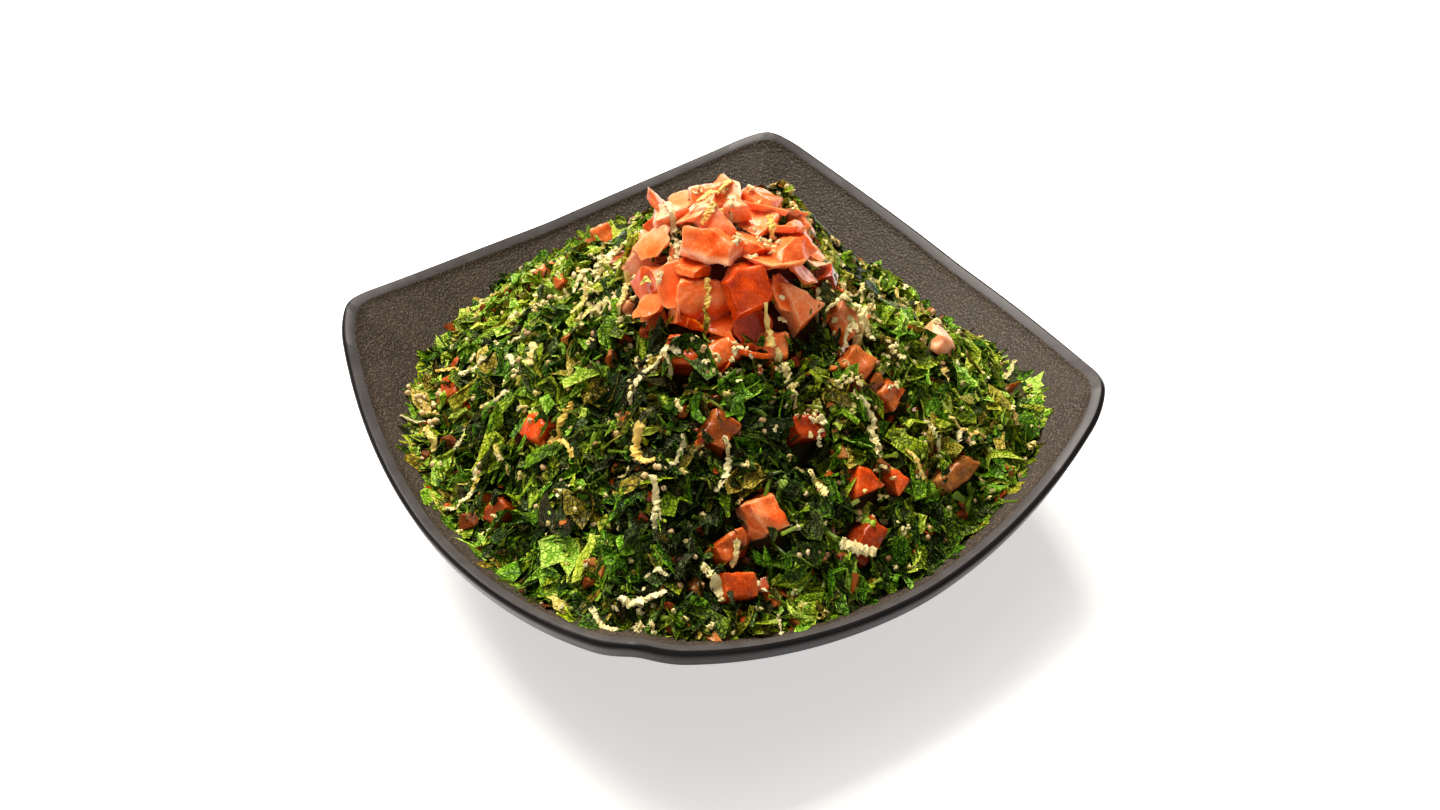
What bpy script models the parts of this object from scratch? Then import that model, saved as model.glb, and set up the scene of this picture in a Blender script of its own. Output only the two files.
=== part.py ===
"""Tabbouleh salad heaped in a square black bowl, with a crown of diced tomato on top.

The bowl has bowed sides and rounded corners that stand higher than the middles of its sides.
Its wall goes from a round foot out to the square rim. The salad is one heap with an uneven
top, which rests on the bowl's inner face. Each larger piece of tomato is a solid of its own,
set into a pocket in the heap.

Lengths are in millimetres and angles in degrees, until mesh_object() turns them into metres.
The origin is the centre of the foot, on the table. The bowl's sides run along X and Y.
"""

import math
import random

import bmesh
import bpy
from mathutils import Matrix, Vector, noise

MM = 0.001
GAP = 0.3  # left between pieces that rest on each other

# Bowl, in plan: four bowed sides joined by round corners.
SIDE_HALF = 100.0
SIDE_BOW_RADIUS = 206.0
CORNER_RADIUS = 30.0
# Bowl, in height: the rim is lowest at the middle of a side.
RIM_HEIGHT = 45.0
CORNER_RISE = 16.0
RISE_POWER = 1.6
RISE_ROUNDING = 0.06
# Bowl, in section.
FOOT_RADIUS = 46.0
FOOT_HEIGHT = 2.5
FOOT_RING_OUTER = 42.0
FOOT_RING_INNER = 36.0
FOOT_RING_LEAN = 1.0  # how far each side of the foot ring leans out
FOOT_RING_SHOULDER = 1.4  # height at which the ring's outer side meets the base
RECESS_HEIGHT = 1.6
LIP_FACE = 5.5
LIP_FACE_INSET = 1.2
FLOOR_HEIGHT = 6.5
FLOOR_RADIUS = 40.0
WALL_START = 0.10
WALL_SOFTNESS = 0.12
WALL_TOP_INSET = 4.6
WALL_TOP_DROP = 2.1
# The lip from its outer edge to the wall: a rounded edge, a flat slanted band, a small step.
LIP = ((0.0, 1.3), (0.4, 0.4), (1.4, 0.0), (4.0, 1.25), (WALL_TOP_INSET, WALL_TOP_DROP))
WALL_RINGS = (0.8, 0.6, 0.42, 0.28, 0.17, 0.09, 0.0)
OUTER_RINGS = (0.0, 0.3, 0.65, 1.0)
AROUND = 64
CORNER_CROWDING = 0.4  # puts more of the points where the plan turns

# Salad heap: where it meets the wall, and how it rises from there to its peak.
HEAP_EDGE = 91.0
HEAP_EDGE_STEP = 1.8
# Where the edge goes further or less far: bearing, change, spread.
EDGE_LOBES = (
    (-135.0, 11.0, 45.0),
    (-45.0, 6.0, 45.0),
    (135.0, -4.0, 60.0),
    (180.0, -3.0, 45.0),
    (-12.0, -5.0, 30.0),
    (18.0, -8.0, 40.0),
    (60.0, 2.0, 40.0),
)
HEAP_PEAK = 91.0
HEAP_POWER = 1.77
HEAP_FLARE = 1.33
# Shoulders on the heap: x, y, height, radius.
SHOULDERS = ((37.0, 11.0, 6.5, 26.0),)
# Unevenness of the heap: size across, height, and the slice of the noise that it is read from.
LUMPS = ((15.0, 5.0, 0.4), (7.0, 2.6, 3.1))
LUMP_FADE = 6  # power with which the lumps fade out at the heap's edge
HEAP_RINGS = 19
HEAP_BASE_RINGS = (0.93, 0.8, 0.6, 0.45, 0.25)

# Crown of tomato: a dome on the heap. The hidden inside of the dome belongs to the heap.
CROWN_X, CROWN_Y = 8.0, 1.0
CROWN_RADIUS = 32.0
CROWN_HEIGHT = 18.0
CROWN_POWER = 2.4
CROWN_EDGE = 0.9
CROWN_SHELL = 4.5  # the crown's visible pieces lie in this outer shell
SHELL_AT_SIDE = 0.5  # share of the shell's thickness that is left at the dome's side

# Cut pieces of tomato.
CORNER_JITTER = 0.09  # how far a corner strays, as a share of the piece's size
FAR_FACE = 0.8  # size of a piece's outer face, as a share of its inner one
FLAT_ANGLE = 1.0  # faces that turn less than this become one
SLOPE_STEP = 0.5  # the slope under a piece is read over this distance each way
LEVEL_SLOPE = 0.05  # a surface flatter than this has no downhill side
SHARP_ANGLE = 35.0
SEED = 11

# Outlines of cut pieces, in halves of their length across and up.
OUTLINES = {
    "dice": ((-1, -1), (1, -1), (1, 1), (-1, 1)),
    "slab": ((-1, -1), (0.2, -1), (1, -0.7), (0.9, 0.8), (-0.2, 1), (-1, 0.7)),
    # comes to a point at the top
    "wedge": ((-1, -1), (1, -0.8), (0.45, 0.35), (-0.1, 1), (-0.65, 0.3)),
    # a wedge of fruit on its side, with a curved back
    "lens": ((-1, -0.5), (-0.45, 0.6), (0.1, 1), (0.6, 0.4), (1, -0.8), (0, -1)),
}

# Crown pieces, the one on top first: name, x, y, length across the slope, length up it,
# thickness, turn in the slope's plane, lean out of it, how deep the centre lies, outline.
CROWN = (
    ("spike", -6, 11, 8, 15, 6, 8, -25, 0.0, "wedge"),
    ("peak", 7, 0, 8, 9, 6, -10, -15, 1.0, "wedge"),
    ("quad", -3, -20, 17, 17, 5, 12, 0, 0.5, "slab"),
    ("cup", -15, -16, 19, 16, 9, -4, 8, 1.5, "dice"),
    ("lens", 14, -17, 19, 10, 8, -14, 10, 1.0, "lens"),
    ("band", -7, -7, 19, 11, 7, -3, 12, 1.5, "slab"),
    ("left", -15, 15, 10, 16, 7, 6, 0, 1.0, "slab"),
    ("arch", -1, 1, 16, 9, 7, 2, 4, 2.0, "dice"),
    ("knob", 13, -3, 12, 10, 7, 20, 2, 2.0, "dice"),
    ("facet", 5, -12, 12, 10, 7, -20, 6, 2.5, "dice"),
    ("amber", -15, -6, 13, 11, 7, 16, 8, 2.5, "slab"),
    ("heel", -20, 4, 12, 12, 7, -12, 4, 2.0, "dice"),
    ("fan", 10, -26, 13, 17, 7, 18, 0, 1.5, "wedge"),
    ("tab", -1, -30, 10, 10, 6, -24, 6, 1.0, "dice"),
    ("sill", -15, -26, 17, 9, 7, 6, 10, 1.5, "slab"),
    ("root", -24, -20, 12, 11, 7, 24, 6, 1.5, "dice"),
    ("shade", -7, -24, 9, 9, 6, 10, 0, 5.0, "dice"),
    ("rind", -24, -5, 8, 11, 6, -18, 4, 1.5, "dice"),
    ("petal", -25, 9, 9, 6, 5, 12, 0, 1.0, "slab"),
    ("block", -14, 26, 9, 8, 7, -16, 6, 1.0, "dice"),
    ("shelf", 23, -10, 9, 8, 6, 22, 4, 1.5, "dice"),
    ("spur", 27, -20, 10, 6, 5, -12, 4, 1.5, "slab"),
    ("back_a", 20, 5, 13, 11, 7, 14, 6, 1.5, "dice"),
    ("back_b", 9, 14, 14, 11, 7, -18, 8, 1.5, "slab"),
    ("back_c", -3, 22, 12, 10, 7, 24, 6, 1.5, "dice"),
    ("back_d", 25, 15, 12, 11, 7, -8, 4, 1.5, "wedge"),
    ("back_e", 12, 25, 14, 10, 7, 10, 4, 1.5, "dice"),
    ("back_f", 32, 0, 10, 10, 6, 30, 4, 1.5, "dice"),
)
# Pieces on the flanks: name, bearing, distance from the middle, then as above.
FLANK = (
    ("gable", -50, 39, 13, 12, 6, -14, 4, 0.5, "wedge"),
    ("step", -66, 47, 10, 10, 6, 24, 6, 1.0, "dice"),
    ("ember", -88, 66, 11, 12, 7, -8, 8, -0.5, "wedge"),
    ("spark", -81, 70, 7, 11, 6, 18, 8, -0.5, "wedge"),
    ("cube", -115, 71, 10, 12, 9, -4, 4, 0.5, "dice"),
    ("blush", -37, 66, 13, 9, 6, -12, 10, 0.0, "slab"),
    ("tang", 179, 60, 10, 10, 6, 10, 6, 0.5, "slab"),
    ("leafy", -121, 88, 11, 8, 6, -22, 6, 0.5, "dice"),
    ("under", -122, 79, 13, 8, 6, 8, 6, 1.5, "slab"),
    ("seedy", -124, 52, 11, 10, 7, 34, 6, 1.0, "dice"),
    ("garnet", -96, 51, 10, 8, 7, -20, 6, 1.0, "dice"),
    ("curb", -94, 79, 17, 9, 7, 14, 6, 1.0, "slab"),
    ("copper", -66, 57, 9, 8, 6, 20, 6, 0.5, "dice"),
    ("amberside", 122, 75, 9, 9, 6, -26, 6, 0.5, "wedge"),
    ("rose", 107, 68, 10, 8, 6, 12, 6, 0.5, "dice"),
    ("rust", 146, 79, 10, 10, 6, -14, 6, 0.5, "dice"),
    ("brick", -174, 80, 10, 9, 6, 20, 6, 0.5, "dice"),
    ("tawny", -68, 81, 17, 8, 6, 8, 6, 0.5, "slab"),
    ("far_a", 60, 55, 11, 10, 7, 16, 6, 0.5, "dice"),
    ("far_b", 30, 72, 10, 9, 6, -20, 6, 0.5, "wedge"),
    ("far_c", 84, 78, 12, 8, 7, 8, 6, 0.5, "slab"),
    ("far_d", 2, 50, 9, 10, 7, 26, 6, 0.5, "dice"),
)

COLOURS = {
    "bowl": ((0.014, 0.0125, 0.0115), 0.34),
    "salad": ((0.045, 0.115, 0.012), 0.45),
    "tomato": ((0.72, 0.13, 0.045), 0.28),
}


def clear_scene():
    for obj in list(bpy.data.objects):
        bpy.data.objects.remove(obj, do_unlink=True)


def material(name):
    made = bpy.data.materials.get(name)
    if made:
        return made
    colour, roughness = COLOURS[name]
    made = bpy.data.materials.new(name)
    made.use_nodes = True
    shader = made.node_tree.nodes["Principled BSDF"]
    shader.inputs["Base Color"].default_value = (*colour, 1.0)
    shader.inputs["Roughness"].default_value = roughness
    shader.inputs["Metallic"].default_value = 0.0
    return made


def mesh_object(name, shape, finish):
    """Puts a bmesh that is in millimetres into the scene as an object in metres."""
    bmesh.ops.scale(shape, vec=(MM, MM, MM), verts=shape.verts)
    bmesh.ops.recalc_face_normals(shape, faces=shape.faces)
    mesh = bpy.data.meshes.new(name)
    shape.to_mesh(mesh)
    shape.free()
    mesh.materials.append(material(finish))
    obj = bpy.data.objects.new(name, mesh)
    bpy.context.scene.collection.objects.link(obj)
    return obj


def angle_apart(a, b):
    return abs((a - b + 180.0) % 360.0 - 180.0)


def lobe(bearing, centre, spread):
    """1 at the centre bearing, falling smoothly to 0 at the given spread from it."""
    share = min(angle_apart(bearing, centre) / spread, 1.0)
    return 0.5 + 0.5 * math.cos(math.pi * share)


# ---------------------------------------------------------------- bowl


def plan_reach(angle, inset=0.0):
    """Distance from the middle to the plan outline moved in by inset, at an angle in radians."""
    folded = abs((angle + math.pi / 4) % (math.pi / 2) - math.pi / 4)
    back = SIDE_BOW_RADIUS - SIDE_HALF
    across = SIDE_BOW_RADIUS - CORNER_RADIUS
    centre = (-back + math.sqrt(2 * across**2 - back**2)) / 2
    turn = math.atan2(centre, centre + back)
    side = SIDE_BOW_RADIUS - inset
    corner = CORNER_RADIUS - inset
    tangent = math.atan2(side * math.sin(turn), side * math.cos(turn) - back)
    if folded < tangent:
        return -back * math.cos(folded) + math.sqrt(side**2 - (back * math.sin(folded)) ** 2)
    along = centre * (math.cos(folded) + math.sin(folded))
    return along + math.sqrt(corner**2 - centre**2 * (1 - math.sin(2 * folded)))


def rim_height(angle):
    """Height of the rim's highest line, which climbs from mid-side to corner."""
    folded = abs((angle + math.pi / 4) % (math.pi / 2) - math.pi / 4)
    towards = 1 - math.sqrt((1 - math.tan(folded)) ** 2 + RISE_ROUNDING**2)
    share = max(towards, 0.0) / (1 - RISE_ROUNDING)
    return RIM_HEIGHT + CORNER_RISE * share**RISE_POWER


def wall_rise(share):
    """Share of the wall's height at a share of its width: it eases out of the flat floor."""

    def ramp(at):
        past = at - WALL_START
        return past + math.hypot(past, WALL_SOFTNESS)

    return (ramp(share) - ramp(0.0)) / (ramp(1.0) - ramp(0.0))


def wall_point(angle, share):
    """Distance and height of the inner wall."""
    edge = plan_reach(angle, WALL_TOP_INSET)
    top = rim_height(angle) - WALL_TOP_DROP
    reach = FLOOR_RADIUS + (edge - FLOOR_RADIUS) * share
    return reach, FLOOR_HEIGHT + (top - FLOOR_HEIGHT) * wall_rise(share)


def wall_height(angle, reach):
    """Height of the bowl's inner face at a distance from the middle."""
    edge = plan_reach(angle, WALL_TOP_INSET)
    share = (reach - FLOOR_RADIUS) / (edge - FLOOR_RADIUS)
    return wall_point(angle, share)[1] if share > 0 else FLOOR_HEIGHT


def outer_point(angle, share):
    edge = plan_reach(angle, LIP_FACE_INSET)
    bottom = rim_height(angle) - LIP_FACE
    reach = FOOT_RADIUS + (edge - FOOT_RADIUS) * share
    return reach, FOOT_HEIGHT + (bottom - FOOT_HEIGHT) * share


def angles():
    for step in range(AROUND):
        even = 2 * math.pi * step / AROUND
        yield even + CORNER_CROWDING * math.sin(4 * even) / 4


def revolve(rings, floor_centre, under_centre):
    """Joins rings of (distance, height) functions of the angle, closed by a point each end."""
    shape = bmesh.new()
    turned = list(angles())
    loops = []
    for ring in rings:
        points = [(angle, *ring(angle)) for angle in turned]
        loops.append(
            [shape.verts.new((r * math.cos(a), r * math.sin(a), z)) for a, r, z in points]
        )
    for lower, upper in zip(loops, loops[1:]):
        for i in range(AROUND):
            j = (i + 1) % AROUND
            shape.faces.new((lower[i], lower[j], upper[j], upper[i]))
    for loop, height in ((loops[0], under_centre), (loops[-1], floor_centre)):
        centre = shape.verts.new((0, 0, height))
        for i in range(AROUND):
            shape.faces.new((centre, loop[i], loop[(i + 1) % AROUND]))
    return shape


def build_bowl():
    def fixed(reach, height):
        return lambda angle: (reach, height)

    def lip(inset, drop):
        return lambda angle: (plan_reach(angle, inset), rim_height(angle) - drop)

    rings = [
        fixed(FOOT_RING_INNER - FOOT_RING_LEAN, RECESS_HEIGHT),
        fixed(FOOT_RING_INNER, 0.0),
        fixed(FOOT_RING_OUTER, 0.0),
        fixed(FOOT_RING_OUTER + FOOT_RING_LEAN, FOOT_RING_SHOULDER),
    ]
    rings += [lambda angle, share=share: outer_point(angle, share) for share in OUTER_RINGS]
    rings += [lip(*step) for step in LIP]
    rings += [lambda angle, share=share: wall_point(angle, share) for share in WALL_RINGS]
    return mesh_object("bowl", revolve(rings, FLOOR_HEIGHT, RECESS_HEIGHT), "bowl")


# ---------------------------------------------------------------- heap


def heap_edge(angle):
    """Distance from the middle at which the heap meets the wall."""
    bearing = math.degrees(angle)
    changes = (change * lobe(bearing, centre, spread) for centre, change, spread in EDGE_LOBES)
    return HEAP_EDGE + sum(changes)


def mound(x, y):
    """Height of the heap before its lumps and crown."""
    angle = math.atan2(y, x)
    edge = heap_edge(angle)
    foot = wall_height(angle, edge) + HEAP_EDGE_STEP
    share = min(math.hypot(x, y) / edge, 1.0)
    height = foot + (HEAP_PEAK - foot) * (1 - share**HEAP_POWER) ** HEAP_FLARE
    for centre_x, centre_y, rise, radius in SHOULDERS:
        away = min(math.hypot(x - centre_x, y - centre_y) / radius, 1.0)
        height += rise * (0.5 + 0.5 * math.cos(math.pi * away))
    return height


def dome(x, y, sunk=0.0):
    """Height that the crown adds, for a dome that is smaller by sunk."""
    share = math.hypot(x - CROWN_X, y - CROWN_Y) / (CROWN_RADIUS - sunk * SHELL_AT_SIDE)
    return (CROWN_HEIGHT - sunk) * (1 - min(share, 1.0) ** CROWN_POWER) ** CROWN_EDGE


def crown_top(x, y):
    return mound(x, y) + dome(x, y)


def lumps(x, y):
    return sum(rise * noise.noise(Vector((x / size, y / size, cut))) for size, rise, cut in LUMPS)


def heap_top(angle, share):
    edge = heap_edge(angle)
    x = edge * share * math.cos(angle)
    y = edge * share * math.sin(angle)
    fade = 1 - share**LUMP_FADE
    height = mound(x, y) + dome(x, y, CROWN_SHELL) + lumps(x, y) * fade
    return edge * share, max(height, wall_height(angle, edge * share) + HEAP_EDGE_STEP)


def heap_base(angle, share):
    reach = heap_edge(angle) * share
    return reach, wall_height(angle, reach) + GAP


def build_heap():
    rings = [lambda a, s=s: heap_base(a, s) for s in reversed(HEAP_BASE_RINGS)]
    rings.append(lambda a: heap_base(a, 1.0))
    for step in range(HEAP_RINGS):
        share = 1 - step / HEAP_RINGS
        rings.append(lambda a, s=share: heap_top(a, s))
    peak = mound(0, 0) + dome(0, 0, CROWN_SHELL) + lumps(0, 0)
    return mesh_object("salad", revolve(rings, peak, FLOOR_HEIGHT + GAP), "salad")


# ---------------------------------------------------------------- tomato


def outline_points(kind, across, up, thick, rng):
    """Corner points of a cut piece of tomato, around its own centre."""
    sizes = (across, up, thick)
    points = []
    for side, shrink in ((-1, 1.0), (1, FAR_FACE)):
        for x, y in OUTLINES[kind]:
            place = (x * shrink, y * shrink, side)
            shift = [rng.uniform(-CORNER_JITTER, CORNER_JITTER) for _ in sizes]
            points.append(Vector([(p / 2 + s) * size for p, s, size in zip(place, shift, sizes)]))
    return points


def slope_frame(height, x, y):
    """Place and axes on a surface: across the slope, up it, and out of it."""
    dx = (height(x + SLOPE_STEP, y) - height(x - SLOPE_STEP, y)) / (2 * SLOPE_STEP)
    dy = (height(x, y + SLOPE_STEP) - height(x, y - SLOPE_STEP)) / (2 * SLOPE_STEP)
    out = Vector((-dx, -dy, 1.0)).normalized()
    across = Vector((dy, -dx, 0.0))
    if across.length < LEVEL_SLOPE:
        across = Vector((1.0, 0.0, 0.0))
    across = (across - out * across.dot(out)).normalized()
    up = out.cross(across)
    return Vector((x, y, height(x, y))), Matrix((across, up, out)).transposed()


def hull(points):
    shape = bmesh.new()
    for point in points:
        shape.verts.new(point)
    made = bmesh.ops.convex_hull(shape, input=shape.verts)
    unused = {item for item in made["geom_interior"] if isinstance(item, bmesh.types.BMVert)}
    bmesh.ops.delete(shape, geom=list(unused), context="VERTS")
    bmesh.ops.dissolve_limit(
        shape, angle_limit=math.radians(FLAT_ANGLE), verts=shape.verts, edges=shape.edges
    )
    bmesh.ops.recalc_face_normals(shape, faces=shape.faces)
    return shape


def planes(shape):
    shape.normal_update()
    return [(face.normal.copy(), face.calc_center_median()) for face in shape.faces]


def clip_against(shape, other):
    """Cuts shape back, along one face of other, so that the two no longer meet."""
    mine = [vert.co for vert in shape.verts]
    theirs = [vert.co for vert in other.verts]
    for normal, point in planes(shape):
        if min(normal.dot(co - point) for co in theirs) > 0:
            return
    shallowest = None
    for normal, point in planes(other):
        depth = -min(normal.dot(co - point) for co in mine)
        if depth <= -GAP:
            return
        if shallowest is None or depth < shallowest[0]:
            shallowest = (depth, normal, point)
    _, normal, point = shallowest
    geometry = shape.verts[:] + shape.edges[:] + shape.faces[:]
    bmesh.ops.bisect_plane(
        shape, geom=geometry, plane_co=point + normal * GAP, plane_no=-normal, clear_outer=True
    )
    rim = [edge for edge in shape.edges if edge.is_boundary]
    if rim:
        bmesh.ops.contextual_create(shape, geom=rim)
    bmesh.ops.recalc_face_normals(shape, faces=shape.faces)


def tomato_shape(row, x, y, height, rng):
    across, up, thick, turn, lean, sunk, kind = row
    place, axes = slope_frame(height, x, y)
    axes = axes @ Matrix.Rotation(math.radians(lean), 3, "X")
    axes = axes @ Matrix.Rotation(math.radians(turn), 3, "Z")
    centre = place - axes.col[2] * sunk
    return hull([centre + axes @ point for point in outline_points(kind, across, up, thick, rng)])


def fattened(shape, by):
    """A copy of a convex shape with each face moved out."""
    copy = shape.copy()
    copy.normal_update()
    moves = [(vert, vert.normal * vert.calc_shell_factor() * by) for vert in copy.verts]
    for vert, move in moves:
        vert.co += move
    return copy


def build_tomato():
    """The pieces of tomato and the cutters that make their pockets in the heap."""
    rng = random.Random(SEED)
    shapes = []
    for name, x, y, *row in CROWN:
        shapes.append(("tomato_" + name, tomato_shape(row, x, y, crown_top, rng)))
    for name, bearing, distance, *row in FLANK:
        x = distance * math.cos(math.radians(bearing))
        y = distance * math.sin(math.radians(bearing))
        shapes.append(("tomato_" + name, tomato_shape(row, x, y, mound, rng)))
    for i, (_, shape) in enumerate(shapes):
        for _, earlier in shapes[:i]:
            clip_against(shape, earlier)
    cutters = []
    for name, shape in shapes:
        cutter = mesh_object(name + "_pocket", fattened(shape, GAP), "salad")
        cutter.hide_render = True
        cutter.display_type = "WIRE"
        cutters.append(cutter)
        mesh_object(name, shape, "tomato")
    return cutters


def cut_pockets(heap, cutters):
    """Cuts each pocket out of the heap. EXACT loses the heap among this many shallow pockets."""
    for cutter in cutters:
        modifier = heap.modifiers.new(cutter.name, "BOOLEAN")
        modifier.operation = "DIFFERENCE"
        modifier.solver = "MANIFOLD"
        modifier.object = cutter


def shade(obj):
    obj.data.shade_smooth()
    obj.data.set_sharp_from_angle(angle=math.radians(SHARP_ANGLE))


def main():
    clear_scene()
    bowl = build_bowl()
    heap = build_heap()
    cut_pockets(heap, build_tomato())
    shade(bowl)
    shade(heap)


main()
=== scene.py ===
"""Looks of the tabbouleh salad: the bowl's finishes, and the real chopped things over a smaller heap.

Lengths are in millimetres and angles in degrees, until make_object() turns them into metres.
The bowl's and the heap's formulas are those of the part's source.
"""

import math

import bmesh
import bpy
import numpy as np
from mathutils import Matrix, Vector, noise
from mathutils.bvhtree import BVHTree


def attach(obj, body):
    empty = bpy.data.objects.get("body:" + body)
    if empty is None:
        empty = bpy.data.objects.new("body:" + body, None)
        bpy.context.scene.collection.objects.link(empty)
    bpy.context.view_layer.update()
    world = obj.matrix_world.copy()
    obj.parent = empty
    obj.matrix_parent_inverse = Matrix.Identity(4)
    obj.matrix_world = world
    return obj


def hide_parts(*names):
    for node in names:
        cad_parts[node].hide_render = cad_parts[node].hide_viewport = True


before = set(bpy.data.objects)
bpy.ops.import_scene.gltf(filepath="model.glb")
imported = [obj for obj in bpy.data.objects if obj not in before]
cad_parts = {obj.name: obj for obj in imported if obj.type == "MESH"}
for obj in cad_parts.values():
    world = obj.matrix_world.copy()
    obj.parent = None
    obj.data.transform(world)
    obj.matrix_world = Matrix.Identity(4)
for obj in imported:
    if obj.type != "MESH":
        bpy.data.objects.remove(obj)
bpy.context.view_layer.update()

MM = 0.001
rng = np.random.default_rng(20)

# Bowl, as in the part's source.
SIDE_HALF = 100.0
SIDE_BOW_RADIUS = 206.0
CORNER_RADIUS = 30.0
RIM_HEIGHT = 45.0
CORNER_RISE = 16.0
RISE_POWER = 1.6
RISE_ROUNDING = 0.06
FOOT_RADIUS = 46.0
FOOT_HEIGHT = 2.5
FOOT_RING_OUTER = 42.0
FOOT_RING_INNER = 36.0
FOOT_RING_LEAN = 1.0
FOOT_RING_SHOULDER = 1.4
RECESS_HEIGHT = 1.6
LIP_FACE = 5.5
LIP_FACE_INSET = 1.2
FLOOR_HEIGHT = 6.5
FLOOR_RADIUS = 40.0
WALL_START = 0.10
WALL_SOFTNESS = 0.12
WALL_TOP_INSET = 4.6
WALL_TOP_DROP = 2.1

# Heap, as in the part's source.
HEAP_EDGE = 91.0
HEAP_EDGE_STEP = 1.8
EDGE_LOBES = (
    (-135.0, 11.0, 45.0),
    (-45.0, 6.0, 45.0),
    (135.0, -4.0, 60.0),
    (180.0, -3.0, 45.0),
    (-12.0, -5.0, 30.0),
    (18.0, -8.0, 40.0),
    (60.0, 2.0, 40.0),
)
HEAP_PEAK = 91.0
HEAP_POWER = 1.77
HEAP_FLARE = 1.33
SHOULDERS = ((37.0, 11.0, 6.5, 26.0),)
LUMPS = ((15.0, 5.0, 0.4), (7.0, 2.6, 3.1))
LUMP_FADE = 6
CROWN_X, CROWN_Y = 8.0, 1.0
CROWN_RADIUS = 32.0
CROWN_HEIGHT = 18.0
CROWN_POWER = 2.4
CROWN_EDGE = 0.9
CROWN_SHELL = 4.5
SHELL_AT_SIDE = 0.5

# Camera and view.
CAMERA_LENS = 40.0
CAMERA_SENSOR = 36.0
CAMERA_DISTANCE = 485.0
CAMERA_AZIMUTH = -35.09
CAMERA_ELEVATION = 42.64
CAMERA_ROLL = 0.30
CAMERA_AIM_HEIGHT = 45.0
CAMERA_SHIFT = (0.0040, -0.0149)


# ---------------------------------------------------------------- meshes


def make_mesh(name, points, triangles):
    """A mesh in metres from points in millimetres and a list of triangles."""
    mesh = bpy.data.meshes.new(name)
    mesh.vertices.add(len(points))
    mesh.vertices.foreach_set("co", (np.asarray(points) * MM).astype(np.float32).ravel())
    triangles = np.asarray(triangles, np.int32)
    mesh.loops.add(triangles.size)
    mesh.loops.foreach_set("vertex_index", triangles.ravel())
    mesh.polygons.add(len(triangles))
    mesh.polygons.foreach_set("loop_start", np.arange(0, triangles.size, 3, dtype=np.int32))
    mesh.update(calc_edges=True)
    return mesh


def bmesh_arrays(shape):
    """Points and faces of a bmesh."""
    shape.verts.index_update()
    points = np.array([vert.co for vert in shape.verts])
    return points, np.array([[vert.index for vert in face.verts] for face in shape.faces])


def add_attribute(mesh, name, values):
    """Stores one number, or one vector, for each point of a mesh."""
    values = np.asarray(values, np.float32)
    kind, field = ("FLOAT", "value") if values.ndim == 1 else ("FLOAT_VECTOR", "vector")
    mesh.attributes.new(name, kind, "POINT").data.foreach_set(field, values.ravel())


def make_object(name, mesh, materials, sharp):
    """A smooth object, with edges sharper than an angle left crisp."""
    mesh.shade_smooth()
    mesh.set_sharp_from_angle(angle=math.radians(sharp))
    for finish in materials:
        mesh.materials.append(finish)
    obj = bpy.data.objects.new(name, mesh)
    bpy.context.scene.collection.objects.link(obj)
    return obj


def place(obj, slot, *nodes):
    """Puts a piece on the body and hides the CAD nodes that it stands for. Its slot is not used."""
    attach(obj, "root")
    if nodes:
        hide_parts(*nodes)


def ring_triangles(rings, around, first=0):
    """Triangles between rings of points that are stored one after another."""
    faces = []
    step = np.arange(around)
    after = (step + 1) % around
    for ring in range(rings - 1):
        low, high = first + ring * around, first + (ring + 1) * around
        faces.append(np.stack([low + step, low + after, high + after], 1))
        faces.append(np.stack([low + step, high + after, high + step], 1))
    return np.concatenate(faces)


def fan_triangles(centre, loop, flip=False):
    """Triangles from a centre point to a closed loop of points."""
    loop = np.asarray(loop)
    after = np.roll(loop, -1)
    first, second = (after, loop) if flip else (loop, after)
    return np.stack([np.full(len(loop), centre), first, second], 1)


class Batch:
    """Many small shapes joined into one mesh, with named values for the material at each point."""

    def __init__(self, name):
        self.name = name
        self.points, self.faces, self.local, self.values = [], [], [], {}
        self.count = 0

    def add(self, points, faces, local, **values):
        self.points.append(points)
        self.faces.append(faces + self.count)
        self.local.append(local)
        for key, value in values.items():
            self.values.setdefault(key, []).append(np.broadcast_to(value, len(points)))
        self.count += len(points)

    def build(self, finish, slot, sharp=50.0):
        mesh = make_mesh(self.name, np.concatenate(self.points), np.concatenate(self.faces))
        add_attribute(mesh, "local", np.concatenate(self.local))
        for key, values in self.values.items():
            add_attribute(mesh, key, np.clip(np.concatenate(values), 0, 1))
        place(make_object(self.name, mesh, [finish], sharp), slot)


# ---------------------------------------------------------------- shape of the bowl and the heap


def plan_reach(angle, inset):
    """Distance from the middle to the plan outline moved in by inset, at an angle in radians."""
    folded = abs((angle + math.pi / 4) % (math.pi / 2) - math.pi / 4)
    back = SIDE_BOW_RADIUS - SIDE_HALF
    across = SIDE_BOW_RADIUS - CORNER_RADIUS
    centre = (-back + math.sqrt(2 * across**2 - back**2)) / 2
    turn = math.atan2(centre, centre + back)
    side = SIDE_BOW_RADIUS - inset
    corner = CORNER_RADIUS - inset
    tangent = math.atan2(side * math.sin(turn), side * math.cos(turn) - back)
    if folded < tangent:
        return -back * math.cos(folded) + math.sqrt(side**2 - (back * math.sin(folded)) ** 2)
    along = centre * (math.cos(folded) + math.sin(folded))
    return along + math.sqrt(corner**2 - centre**2 * (1 - math.sin(2 * folded)))


def rim_height(angle):
    """Height of the rim's highest line, which climbs from mid-side to corner."""
    folded = abs((angle + math.pi / 4) % (math.pi / 2) - math.pi / 4)
    towards = 1 - math.sqrt((1 - math.tan(folded)) ** 2 + RISE_ROUNDING**2)
    share = max(towards, 0.0) / (1 - RISE_ROUNDING)
    return RIM_HEIGHT + CORNER_RISE * share**RISE_POWER


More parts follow.
